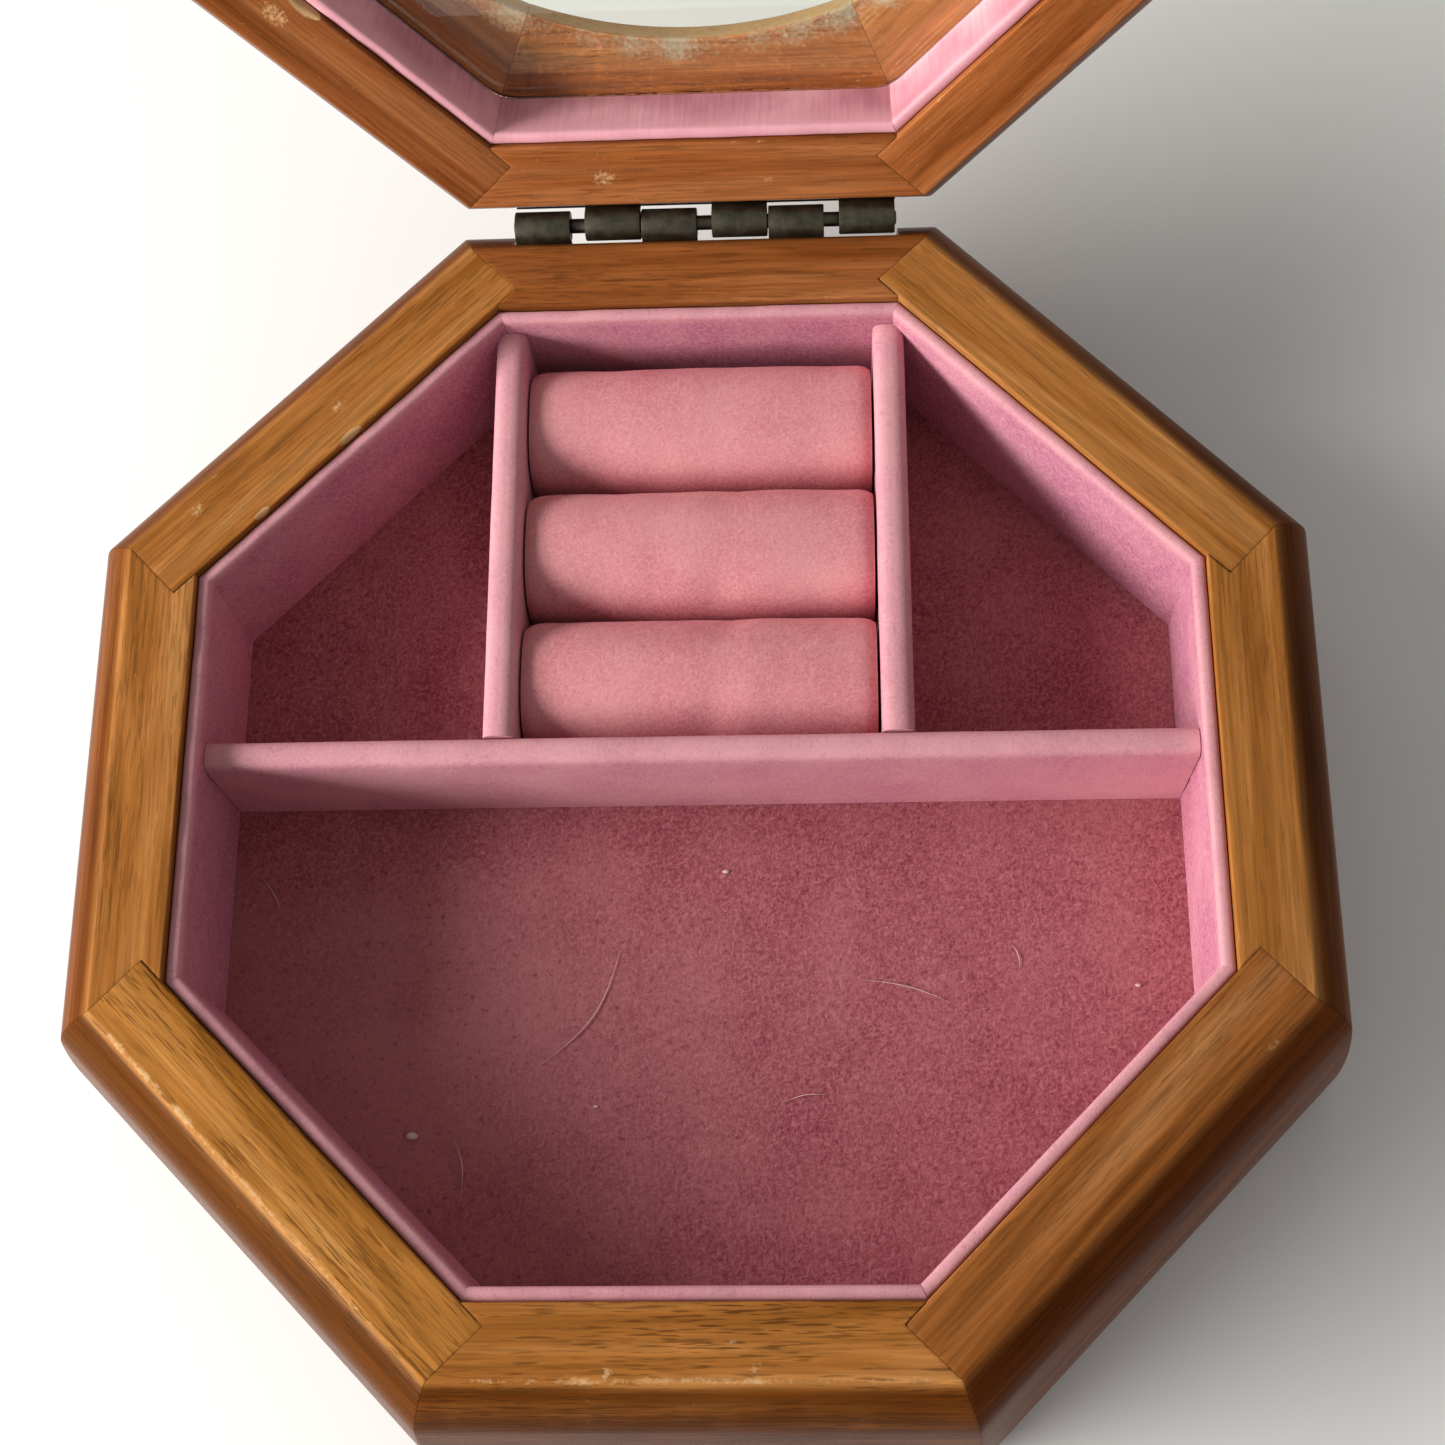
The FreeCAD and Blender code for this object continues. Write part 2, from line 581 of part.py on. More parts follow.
def screw_body(name, x, z, grow):
    """Countersunk shank through a leaf into the wood, larger all round by grow."""
    shank = f"(Sizes.screw_radius + {grow})"
    head = f"({shank} + Sizes.screw_head_out)"
    shank_length = f"({SCREW_LENGTH} - {HEAD_DEPTH} - Sizes.screw_tip)"
    neck = f"({LEAF_BACK} - {HEAD_DEPTH})"
    tip = f"({neck} - {shank_length})"
    return [
        cone(f"{name}_head", (x, LEAF_BACK, z), head, shank, HEAD_DEPTH, INWARD),
        cylinder(f"{name}_shank", (x, neck, z), shank, shank_length, INWARD),
        cone(f"{name}_tip", (x, tip, z), shank, f"{shank} / 4", "Sizes.screw_tip", INWARD),
    ]


def hinge_leaf(name, side, first_knuckle):
    """Leaf plate with its three knuckles; side is -1 below the pin's axis and 1 above it."""
    low = f"({AXIS_Z} + {CUT_BACK})" if side > 0 else f"({AXIS_Z} - Sizes.leaf_height)"
    solids = [box(
        f"{name}_plate",
        (HINGE_START, LEAF_FACE, low),
        (HINGE_LENGTH, "Sizes.leaf_thickness", f"Sizes.leaf_height - {CUT_BACK}"),
    )]
    strap_low = AXIS_Z if side > 0 else f"({AXIS_Z} - {CUT_BACK})"
    for pair in range(KNUCKLE_PAIRS):
        start = f"({HINGE_START} + {pair} * {PAIR} + {first_knuckle})"
        solids.append(box(
            f"{name}_strap_{pair}",
            (start, LEAF_FACE, strap_low),
            (KNUCKLE, "Sizes.leaf_thickness", CUT_BACK),
        ))
        solids.append(cylinder(
            f"{name}_knuckle_{pair}", (start, AXIS_Y, AXIS_Z), "Sizes.barrel_radius", KNUCKLE, ALONG,
        ))
    cuts = [cylinder(
        f"{name}_bore", (f"{HINGE_START} - {SPARE}", AXIS_Y, AXIS_Z), "Sizes.pin_radius + Sizes.pin_gap",
        f"{HINGE_LENGTH} + 2 * {SPARE}", ALONG,
    )]
    for number in range(SCREWS_PER_LEAF):
        z = f"({AXIS_Z} + {side} * {SCREW_LINE})"
        cuts += screw_body(f"{name}_hole_{number}", screw_x(number), z, "Sizes.screw_gap")
    return cut(name, fuse(f"{name}_blank", solids), cuts)


def hinge_screws(name, side):
    """The screws of one leaf, as separate solids in one node."""
    screws = []
    for number in range(SCREWS_PER_LEAF):
        z = f"({AXIS_Z} + {side} * {SCREW_LINE})"
        screws.append(fuse(f"{name}_{number}", screw_body(f"{name}_{number}", screw_x(number), z, "0")))
    group = doc.addObject("Part::Compound", name)
    group.Links = screws
    return group


def open_with_lid(target):
    """Swing a piece that is drawn in the closed position open about the pin."""
    target.setExpression("Placement", f"{OPENED} * placement(vector(0; -{AXIS_Y}; -{AXIS_Z}); rotationx(0))")
    return target


def build_body():
    """Wooden body with its bottom."""
    for index in range(len(SIDES)):
        body_rail(index)
    panel_half = f"({HALF_IN} + Sizes.panel_seat - Sizes.panel_gap)"
    plate("bottom_panel", body_pose(), panel_half, "Sizes.panel_raise", "Sizes.panel_thickness")


def build_lining():
    """Felt-covered pieces inside the body."""
    plate("floor_pad", body_pose(), f"({HALF_IN} - Sizes.panel_gap)", PANEL_TOP, "Sizes.floor_thickness")
    for index, side in enumerate(SIDES):
        felt_strip(f"{side}_liner", body_pose(index * TURN), LINER_OUT, LINER_IN, FLOOR_TOP, LINER_TOP, True)
    long_divider()
    short_divider("left_divider", -1)
    short_divider("right_divider", 1)
    for index in range(len(ROLLS)):
        ring_roll(index)


def build_lid():
    """Wooden lid with its pane and felt strips."""
    for index, side in enumerate(SIDES):
        lid_rail(index)
        felt_strip(
            f"lid_{side}_strip", lid_pose(index * TURN), STRIP_OUT, STRIP_IN,
            "Sizes.strip_drop", "Sizes.lid_recess", False,
        )
    pane_low = "Sizes.lid_recess - Sizes.pane_thickness"
    pane_half = f"({STRIP_IN} - Sizes.pane_gap)"
    plate("lid_pane", lid_pose(), pane_half, pane_low, "Sizes.pane_thickness", "Sizes.pane_corner")


def build_hinge():
    """Butt hinge: two leaves, the pin and the screws."""
    keep(hinge_leaf("hinge_body_leaf", -1, "0"), "hinge_body_leaf")
    lid_start = f"({KNUCKLE} + Sizes.knuckle_play)"
    keep(open_with_lid(hinge_leaf("hinge_lid_leaf", 1, lid_start)), "hinge_lid_leaf")
    pin_start = (f"{HINGE_START} - Sizes.pin_stand", AXIS_Y, AXIS_Z)
    pin_length = f"{HINGE_LENGTH} - Sizes.knuckle_gap + 2 * Sizes.pin_stand"
    keep(cylinder("hinge_pin", pin_start, "Sizes.pin_radius", pin_length, ALONG), "hinge_pin")
    keep(hinge_screws("hinge_body_screws", -1), "hinge_body_screws")
    keep(open_with_lid(hinge_screws("hinge_lid_screws", 1)), "hinge_lid_screws")


def write_parts():
    """Check every object, then write each sub-part to its own file."""
    doc.recompute()
    failed = [item.Label for item in doc.Objects if "Invalid" in item.State or "Error" in item.State]
    failed += [item.Label for item in finished if item.Shape.isNull() or not item.Shape.isValid()]
    if failed:
        raise RuntimeError(f"failed objects: {failed}")
    os.makedirs("parts", exist_ok=True)
    for item in finished:
        item.Shape.exportStep(os.path.join("parts", f"{item.Label}.step"))
    print(f"{len(finished)} sub-parts written")


build_body()
build_lining()
build_lid()
build_hinge()
write_parts()
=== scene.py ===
"""Looks of an octagonal wooden jewelry box with a hinged, glazed lid and felt-lined compartments.

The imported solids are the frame. Each piece here is modelled in millimetres in its own place and rides
on one of the frame's bodies, so that the lid swings with all that is on it. All but the lint stand
for one of the solids.
"""
from __future__ import annotations

import json
import logging
import math
from dataclasses import dataclass, field
from enum import Enum, IntEnum
from typing import Any, Callable, Sequence

import bmesh
import bpy
import numpy as np
from mathutils import Matrix, Quaternion, Vector

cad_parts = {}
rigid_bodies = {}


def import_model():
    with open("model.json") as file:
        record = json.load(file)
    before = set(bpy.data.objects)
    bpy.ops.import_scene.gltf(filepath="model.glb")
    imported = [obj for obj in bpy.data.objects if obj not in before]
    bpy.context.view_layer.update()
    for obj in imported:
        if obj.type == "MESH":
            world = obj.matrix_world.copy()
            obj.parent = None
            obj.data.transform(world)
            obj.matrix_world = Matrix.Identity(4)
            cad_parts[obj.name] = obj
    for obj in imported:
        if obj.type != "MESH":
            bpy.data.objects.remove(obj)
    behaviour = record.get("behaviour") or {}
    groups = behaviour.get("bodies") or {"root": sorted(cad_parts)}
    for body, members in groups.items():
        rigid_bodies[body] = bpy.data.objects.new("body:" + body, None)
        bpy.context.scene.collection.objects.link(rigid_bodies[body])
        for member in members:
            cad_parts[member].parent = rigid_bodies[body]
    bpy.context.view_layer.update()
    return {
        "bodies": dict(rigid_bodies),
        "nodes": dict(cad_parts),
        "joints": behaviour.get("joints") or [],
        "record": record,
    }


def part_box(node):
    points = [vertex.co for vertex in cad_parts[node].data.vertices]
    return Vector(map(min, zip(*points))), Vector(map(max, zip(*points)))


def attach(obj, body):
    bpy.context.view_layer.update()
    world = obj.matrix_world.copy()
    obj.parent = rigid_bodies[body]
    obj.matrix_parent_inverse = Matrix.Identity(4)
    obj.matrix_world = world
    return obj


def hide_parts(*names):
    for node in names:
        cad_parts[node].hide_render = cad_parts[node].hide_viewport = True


LOG = logging.getLogger("jewelry_box")
MM = 0.001
RIM_WIDTH = 10.9
TURN = math.radians(45)
MITRE = math.tan(TURN / 2)
SHARP = math.radians(38)
ROUND_STEPS = 32
CORNER_STEPS = (0.0, 0.25, 0.5, 0.75, 1.0)
CORNER_WEAR = (0.2, 0.8, 1.0, 0.8, 0.2)
# Sockets of a node that mixes two colours
SHARE, UNDER, OVER = 0, 6, 7


class Side(Enum):
    """Sides of the octagon, counted round from the front."""

    FRONT = 0
    FRONT_RIGHT = 1
    RIGHT = 2
    REAR_RIGHT = 3
    REAR = 4
    REAR_LEFT = 5
    LEFT = 6
    FRONT_LEFT = 7

    @property
    def label(self) -> str:
        """Name of the side in the frame's nodes."""
        return self.name.lower()

    @property
    def turn(self) -> Matrix:
        """Turn that brings a piece of the front to this side."""
        return Matrix.Rotation(self.value * TURN, 4, "Z")

    @property
    def diagonal(self) -> bool:
        """Whether the side lies across a corner of the square."""
        return self.value % 2 == 1


class End(Enum):
    """Ends of a rail, seen from outside the box."""

    LEFT = -1
    RIGHT = 1


class BodyEdge(IntEnum):
    """Corners of a body rail's section that hands and knocks reach."""

    RIM_INSIDE = 0
    RIM_OUTSIDE = 2
    BELLY = 4


class LidEdge(IntEnum):
    """Corners of a lid rail's section that hands and knocks reach."""

    RIM_INSIDE = 0
    FLARE = 8
    RIM_OUTSIDE = 9


class Seed(IntEnum):
    """First of the numbers that pick the unevenness of each kind of piece."""

    DIVIDER = 30
    LINER = 50
    FLOOR = 71
    LID_STRIP = 80
    ROLL = 90
    DUST_AND_SHEEN = 120
    GLUE = 140
    CRUMB = 200
    RUB = 300


class Body(Enum):
    """Bodies of the frame."""

    BASE = "base"
    LID = "lid"


class Leaf(Enum):
    """Leaves of the hinge, by the way they point from the pin while the lid is closed."""

    BODY = -1
    LID = 1

    @property
    def label(self) -> str:
        """Name of the leaf in the frame's nodes."""
        return self.name.lower()

    @property
    def rides(self) -> Body:
        """Body that the leaf is screwed to."""
        return Body.LID if self is Leaf.LID else Body.BASE


class Slot(Enum):
    """Names of the record's material slots; no piece here is given one."""

    WOOD = "varnished_wood"
    LINING = "lining_felt"
    ROLL = "roll_felt"
    FLOOR = "floor_felt"
    GLASS = "pane_glass"
    METAL = "hinge_metal"


# Shared tools


def linear(colour: str) -> tuple[float, float, float, float]:
    """Turn an sRGB hex colour into linear values.

    Args:
        colour: Colour as #rrggbb.

    Returns:
        Linear red, green and blue, with an alpha of 1.
    """
    parts = [int(colour[at:at + 2], 16) / 255 for at in (1, 3, 5)]
    light = [p / 12.92 if p <= 0.04045 else ((p + 0.055) / 1.055) ** 2.4 for p in parts]
    return (light[0], light[1], light[2], 1.0)


def add(
    tree: bpy.types.NodeTree, kind: str, inputs: dict[Any, Any] | None = None,
    stops: Sequence[tuple[float, str]] = (), **settings: Any,
) -> Any:
    """Add a node with its settings and links.

    Args:
        tree: Node tree that gets the node.
        kind: Node type without its ShaderNode prefix.
        inputs: Value, sRGB hex colour, socket or node for each input, by name or number. A node gives
            its first output that is in use.
        stops: Places and sRGB hex colours of its colour ramp, in order.
        **settings: Properties of the node.

    Returns:
        The new node.
    """
    made = tree.nodes.new(f"ShaderNode{kind}")
    for name, value in settings.items():
        setattr(made, name, value)
    for name, value in (inputs or {}).items():
        if isinstance(value, bpy.types.Node):
            value = next(output for output in value.outputs if output.enabled)
        if isinstance(value, bpy.types.NodeSocket):
            tree.links.new(value, made.inputs[name])
        else:
            made.inputs[name].default_value = linear(value) if isinstance(value, str) else value
    for number, (at, colour) in enumerate(stops):
        row = made.color_ramp.elements
        stop = row[number] if number < len(row) else row.new(at)
        stop.position, stop.color = at, linear(colour)
    return made


def begin(name: str, seeded: bool = False) -> tuple[bpy.types.Material, bpy.types.NodeTree, Any]:
    """Start a material with an empty node tree and the place on the piece in millimetres.

    Args:
        name: Name of the material.
        seeded: Whether the mark seed shifts the place, so that no two pieces show the same pattern.

    Returns:
        The material, its node tree and the node that gives the place.
    """
    made = bpy.data.materials.new(name)
    made.use_nodes = True
    tree = made.node_tree
    tree.nodes.clear()
    own = add(tree, "TexCoord").outputs["Object"]
    place_mm = add(tree, "VectorMath", {0: own, "Scale": 1 / MM}, operation="SCALE")
    if seeded:
        seed = add(tree, "Attribute", attribute_name="seed").outputs["Fac"]
        jump = add(tree, "CombineXYZ", {"X": seed, "Y": seed, "Z": seed})
        place_mm = add(tree, "VectorMath", {0: place_mm, 1: jump})
    return made, tree, place_mm


def drift(at: np.ndarray, seed: int, period: float, parts: int = 4) -> np.ndarray:
    """Smooth unevenness that never repeats over a piece.

    Args:
        at: Places along the piece in millimetres.
        seed: Number that picks the curve.
        period: Length of its main waves in millimetres.
        parts: Number of waves added up, each shorter and lower than the one before.

    Returns:
        Values between about -1 and 1.
    """
    draw = np.random.default_rng(seed)
    total = np.zeros_like(at, dtype=float)
    for part in range(parts):
        wave = (0.6 + 0.57 * part) * at / period
        height = draw.uniform(0.4, 0.8) / (1 + 0.4 * part)
        total += height * np.sin(2 * np.pi * wave + draw.uniform(0, 2 * np.pi))
    return total / 1.4


def ramp(value: np.ndarray, low: float, high: float) -> np.ndarray:
    """Smooth step from 0 at low to 1 at high."""
    share = np.clip((value - low) / (high - low), 0, 1)
    return share * share * (3 - 2 * share)


def stations(count: int, ends: Sequence[float] = (0.0, 0.005, 0.014, 0.03)) -> np.ndarray:
    """Shares along a piece from -1 to 1, closer together at its ends.

    Args:
        count: Number of even steps between the ends.
        ends: Extra places near each end, as shares of half the length.

    Returns:
        The shares in order.
    """
    inner = np.linspace(-1 + ends[-1], 1 - ends[-1], count + 1)
    near = np.array(ends[:-1])
    return np.concatenate([near - 1, inner, (1 - near)[::-1]])


def skin(name: str, rings: np.ndarray) -> bpy.types.Object:
    """Close a row of equal rings into one mesh.

    Args:
        name: Name of the piece.
        rings: Points in millimetres as (rings, points, 3).

    Returns:
        The new object, linked to the scene.
    """
    count, around = rings.shape[:2]
    index = np.arange(count * around).reshape(count, around)
    near, far = index[:-1], index[1:]
    quads = np.stack([near, np.roll(near, -1, 1), np.roll(far, -1, 1), far], -1).reshape(-1, 4)
    faces = quads.tolist() + [index[0][::-1].tolist(), index[-1].tolist()]
    mesh = bpy.data.meshes.new(name)
    mesh.from_pydata((rings.reshape(-1, 3) * MM).tolist(), [], faces)
    shell = bmesh.new()
    shell.from_mesh(mesh)
    bmesh.ops.recalc_face_normals(shell, faces=shell.faces)
    shell.to_mesh(mesh)
    shell.free()
    mesh.shade_smooth()
    mesh.set_sharp_from_angle(angle=SHARP)
    piece = bpy.data.objects.new(name, mesh)
    bpy.context.scene.collection.objects.link(piece)
    return piece


def mark(piece: bpy.types.Object, **marks: np.ndarray | float) -> None:
    """Store a number per vertex for the finishes to read.

    Args:
        piece: Object whose mesh is marked.
        **marks: Values, or one value for all vertices, by name.
    """
    count = len(piece.data.vertices)
    for name, values in marks.items():
        layer = piece.data.attributes.new(name, "FLOAT", "POINT")
        layer.data.foreach_set("value", np.broadcast_to(np.ravel(values), count).astype(np.float32))


def lift_mark(piece: bpy.types.Object, name: str, least: np.ndarray | float) -> None:
    """Lift a mark of a piece to at least the given values.

    Args:
        piece: Object that already holds the mark.
        name: Name of the mark.
        least: Lowest value at each vertex, or one for all.
    """
    values = np.zeros(len(piece.data.vertices), np.float32)
    piece.data.attributes[name].data.foreach_get("value", values)
    set_mark(piece, name, np.maximum(values, np.ravel(least)))


def set_mark(piece: bpy.types.Object, name: str, values: np.ndarray) -> None:
    """Write other values into a mark that a piece already holds."""
    piece.data.attributes[name].data.foreach_set("value", np.ravel(values).astype(np.float32))


def carve(piece: bpy.types.Object, tool: bpy.types.Object, operation: str = "DIFFERENCE") -> None:
    """Cut a tool out of a piece, or join it on, and remove the tool.

    Args:
        piece: Object that changes.
        tool: Object that is used up.
        operation: Blender's name of the boolean.
    """
    step = piece.modifiers.new("carve", "BOOLEAN")
    step.operation, step.object, step.solver = operation, tool, "EXACT"
    graph = bpy.context.evaluated_depsgraph_get()
    made = bpy.data.meshes.new_from_object(piece.evaluated_get(graph))
    piece.modifiers.clear()
    piece.data = made
    made.set_sharp_from_angle(angle=SHARP)
    bpy.data.objects.remove(tool)


def place(piece: bpy.types.Object, body: Body, node: str, finish: bpy.types.Material,
          matrix: Matrix = Matrix.Identity(4)) -> None:
    """Put a piece where its solid is and let it stand for that.

    Args:
        piece: Finished object, still at the origin.
        body: Body that it rides on.
        node: Solid that it stands for.
        finish: Material.
        matrix: Where it goes, in metres.
    """
    piece.matrix_world = matrix
    piece.data.materials.clear()
    piece.data.materials.append(finish)
    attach(piece, body.value)
    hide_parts(node)
    LOG.info("%s: %d faces on %s", piece.name, len(piece.data.polygons), body.value)


def lift(x: float = 0.0, y: float = 0.0, z: float = 0.0) -> Matrix:
    """Shift in millimetres as a matrix in metres."""
    return Matrix.Translation(Vector((x, y, z)) * MM)


def headings(path: np.ndarray) -> np.ndarray:
    """Unit directions along a path of points."""
    ahead = np.gradient(path, axis=0)
    return ahead / np.linalg.norm(ahead, axis=1)[:, None]


def turned(profile: Sequence[tuple[float, float]]) -> np.ndarray:
    """Rings of a piece turned round the x axis.

    Args:
        profile: Place along the axis and radius of each ring.

    Returns:
        Points as (rings, points, 3).
    """
    angle = np.linspace(0, 2 * np.pi, ROUND_STEPS, endpoint=False)
    return np.array([
        np.stack([np.full_like(angle, along), radius * np.cos(angle), radius * np.sin(angle)], -1)
        for along, radius in profile
    ])


# Finishes


@dataclass(frozen=True)
class LacqueredMahogany:
    """Mahogany, planed and moulded, stained walnut brown under a thin satin lacquer.

    The eye gets long soft streaks, short dark open pores along the grain, a low gloss, and pale bare
    wood where edges and faces were knocked. Each noise has a length along the grain and a width across
    it. Worn wood is rougher by up to worn_rough, and shine runs from flat faces to moulded ones.
    """

    name: str = "lacquered_mahogany"
    dark: str = "#7a4716"
    mid: str = "#a0652e"
    light: str = "#b98048"
    pore: str = "#42240d"
    bare: str = "#d0a878"
    crack: str = "#2c1707"
    mould: str = "#a88c62"
    glue: str = "#bdb19b"
    streak: tuple[float, float] = (75.0, 6.5)
    line: tuple[float, float] = (110.0, 1.9)
    fibre: tuple[float, float] = (16.0, 0.55)
    pores: tuple[float, float] = (5.0, 0.36)
    patch: tuple[float, float] = (45.0, 14.0)
    dash: tuple[float, float] = (7.5, 0.62)
    nick: float = 0.7
    relief: float = 0.12
    lacquer_rough: float = 0.25
    worn_rough: tuple[float, float] = (0.46, 0.62)
    shine: tuple[float, float] = (0.04, 0.015)

    def grain(self, tree: bpy.types.NodeTree, place_mm: Any) -> dict[str, Any]:
        """Lay the noises that run along the board.

        Args:
            tree: Node tree of the material.
            place_mm: Node that gives the place.

        Returns:
            Node of each noise by its name.
        """
        noises = {}
        for name, (along, across), detail, bend in (
            ("streak", self.streak, 4.0, 0.7),
            ("fibre", self.fibre, 2.0, 0.2),
            ("pore", self.pores, 1.0, 0.1),
            ("dash", self.dash, 2.0, 0.35),
            ("patch", self.patch, 2.0, 0.3),
            ("line", self.line, 2.0, 0.4),
        ):
            scaled = add(tree, "Mapping", {
                "Vector": place_mm, "Scale": (1 / along, 1 / across, 1 / across),
            })
            noises[name] = add(tree, "TexNoise", {
                "Vector": scaled, "Scale": 1.0, "Detail": detail, "Distortion": bend,
            })
        return noises

    def open_pores(self, tree: bpy.types.NodeTree, grain: dict[str, Any], porous: Any) -> Any:
        """Find the open pores: short strokes in patches, and longer dashes.

        Args:
            tree: Node tree of the material.
            grain: Noises along the board.
            porous: Socket of the mark that says how open the board's pores are.

        Returns:
            Node that gives how open a place is.
        """
        stroke = add(tree, "MapRange", {"Value": grain["pore"], "From Min": 0.56, "From Max": 0.65})
        patch = add(tree, "MapRange", {"Value": grain["patch"], "From Min": 0.36, "From Max": 0.62})
        dash = add(tree, "MapRange", {
            "Value": grain["dash"], "From Min": 0.6, "From Max": 0.68, "To Max": 0.72,
        })
        pore = add(tree, "Math", {0: stroke, 1: patch}, operation="MULTIPLY")
        pore = add(tree, "Math", {0: pore, 1: dash}, operation="MAXIMUM")
        return add(tree, "Math", {0: pore, 1: porous}, operation="MULTIPLY")

    def material(self) -> bpy.types.Material:
        """Build the material.

        Returns:
            Material that reads the marks seed, hue, tone, porous, wear, scuff, mould, joint and glue.
        """
        made, tree, place_mm = begin(self.name, seeded=True)
        marks = {
            name: add(tree, "Attribute", attribute_name=name).outputs["Fac"]
            for name in ("hue", "tone", "porous", "wear", "scuff", "mould", "joint", "glue")
        }
        grain = self.grain(tree, place_mm)
        shade = add(tree, "ValToRGB", {"Fac": grain["streak"]}, stops=(
            (0.28, self.dark), (0.5, self.mid), (0.74, self.light),
        ))
        for name, weight in (("fibre", 0.5), ("line", 0.32)):
            shade = add(tree, "Mix", {SHARE: weight, UNDER: shade, OVER: grain[name]},
                        data_type="RGBA", blend_type="OVERLAY")
        shade = add(tree, "HueSaturation", {"Color": shade, "Hue": marks["hue"], "Value": marks["tone"]})
        shade = add(tree, "Mix", {SHARE: marks["mould"], UNDER: shade, OVER: self.mould},
                    data_type="RGBA", blend_type="MULTIPLY")
        pore = self.open_pores(tree, grain, marks["porous"])
        shade = add(tree, "Mix", {SHARE: pore, UNDER: shade, OVER: self.pore}, data_type="RGBA")
        ragged = add(tree, "TexNoise", {
            "Vector": place_mm, "Scale": 1 / self.nick, "Detail": 3.0, "Roughness": 0.65,
        })
        for name, low, high, tint, most in (
            ("wear", 0.74, 1.1, self.bare, 0.8),
            ("scuff", 1.0, 1.2, self.bare, 0.7),
            ("glue", 0.85, 1.2, self.glue, 0.75),
        ):
            amount = add(tree, "Math", {0: marks[name], 1: ragged}, operation="ADD")
            amount = add(tree, "MapRange", {
                "Value": amount, "From Min": low, "From Max": high, "To Max": most,
            })
            shade = add(tree, "Mix", {SHARE: amount, UNDER: shade, OVER: tint}, data_type="RGBA")
        shade = add(tree, "Mix", {SHARE: marks["joint"], UNDER: shade, OVER: self.crack},
                    data_type="RGBA")
        rough = add(tree, "MapRange", {
            "Value": grain["fibre"], "From Min": 0.3, "From Max": 0.7,
            "To Min": self.worn_rough[0], "To Max": self.worn_rough[1],
        })
        rough = add(tree, "Math", {0: rough, 1: marks["wear"], 2: self.lacquer_rough},
                    operation="MULTIPLY_ADD")
        shine = add(tree, "MapRange", {
            "Value": marks["mould"], "To Min": self.shine[0], "To Max": self.shine[1],
        })
        height = add(tree, "Math", {0: pore, 1: -1.0, 2: grain["fibre"]}, operation="MULTIPLY_ADD")
        relief = add(tree, "Bump", {"Height": height, "Strength": 0.35, "Distance": self.relief * MM})
        shader = add(tree, "BsdfPrincipled", {
            "Base Color": shade, "Roughness": rough, "Normal": relief,
            "IOR": 1.5, "Specular IOR Level": shine,
        })
        add(tree, "OutputMaterial", {"Surface": shader})
        return made


@dataclass(frozen=True)
class PressedFelt:
    """Dyed felt, pressed from short fibres and glued over card or wadding.

    The eye gets a dull soft nap with tangled fibres, slow blotches of wear and dust, ridges that have
    lost colour, paler places that are partly painted light, and a pale bloom where it is seen at a flat
    angle. Fibres are finer than the render can show, so they are drawn as coarse as half a millimetre,
    in layers that are turned against each other.
    """

    name: str
    dark: str
    mid: str
    light: str
    # Pale tint for fading, also used as painted light
    faded_and_lit: str
    fleck: str
    fibre: tuple[float, float] = (2.6, 0.42)
    layers: Sequence[tuple[float, float, float]] = ((0.3, 0.5, 0.4), (1.1, 0.4, 1.5), (0.6, 1.2, 2.5))
    blotch: float = 15.0
    uneven: float = 0.12
    nap: float = 0.10
    fleck_size: float = 1.1
    fleck_share: float = 0.2
    sheen: float = 0.35

    def material(self) -> bpy.types.Material:
        """Build the material.

        Returns:
            Material that reads the marks seed and fade.
        """
        made, tree, place_mm = begin(self.name, seeded=True)
        fade = add(tree, "Attribute", attribute_name="fade").outputs["Fac"]
        along, across = self.fibre
        tangle = None
        for turn in self.layers:
            scaled = add(tree, "Mapping", {
                "Vector": place_mm, "Rotation": turn, "Scale": (along, across, across),
            }, vector_type="TEXTURE")
            strand = add(tree, "TexNoise", {
                "Vector": scaled, "Scale": 1.0, "Detail": 1.5, "Distortion": 0.5,
            })
            tangle = strand if tangle is None else add(
                tree, "Math", {0: tangle, 1: strand}, operation="MAXIMUM")
        blotch = add(tree, "TexNoise", {
            "Vector": place_mm, "Scale": 1 / self.blotch, "Detail": 3.0, "Roughness": 0.6,
        })
        tone = add(tree, "Math", {0: blotch, 1: self.uneven}, operation="MULTIPLY")
        tone = add(tree, "Math", {0: tangle, 1: 1 - self.uneven, 2: tone}, operation="MULTIPLY_ADD")
        shade = add(tree, "ValToRGB", {"Fac": tone}, stops=(
            (0.42, self.dark), (0.56, self.mid), (0.7, self.light),
        ))
        # Pale where the fade mark and blotches say: fading and wear, and painted light where the mark holds
        # it
        worn = add(tree, "Math", {0: fade, 1: blotch}, operation="ADD")
        worn = add(tree, "MapRange", {"Value": worn, "From Min": 0.5, "From Max": 1.2, "To Max": 0.72})
        shade = add(tree, "Mix", {SHARE: worn, UNDER: shade, OVER: self.faded_and_lit}, data_type="RGBA")
        speck = add(tree, "TexNoise", {"Vector": place_mm, "Scale": 1 / self.fleck_size, "Detail": 2.0})
        speck = add(tree, "MapRange", {
            "Value": speck, "From Min": 0.6, "From Max": 0.72, "To Max": self.fleck_share,
        })
        shade = add(tree, "Mix", {SHARE: speck, UNDER: shade, OVER: self.fleck}, data_type="RGBA")
        relief = add(tree, "Bump", {"Height": tangle, "Strength": 0.6, "Distance": self.nap * MM})
        shader = add(tree, "BsdfPrincipled", {
            "Base Color": shade, "Roughness": 0.95, "Normal": relief, "IOR": 1.45,
            "Specular IOR Level": 0.15, "Sheen Weight": self.sheen, "Sheen Roughness": 0.45,
            "Sheen Tint": self.light,
        })
        add(tree, "OutputMaterial", {"Surface": shader})
        return made


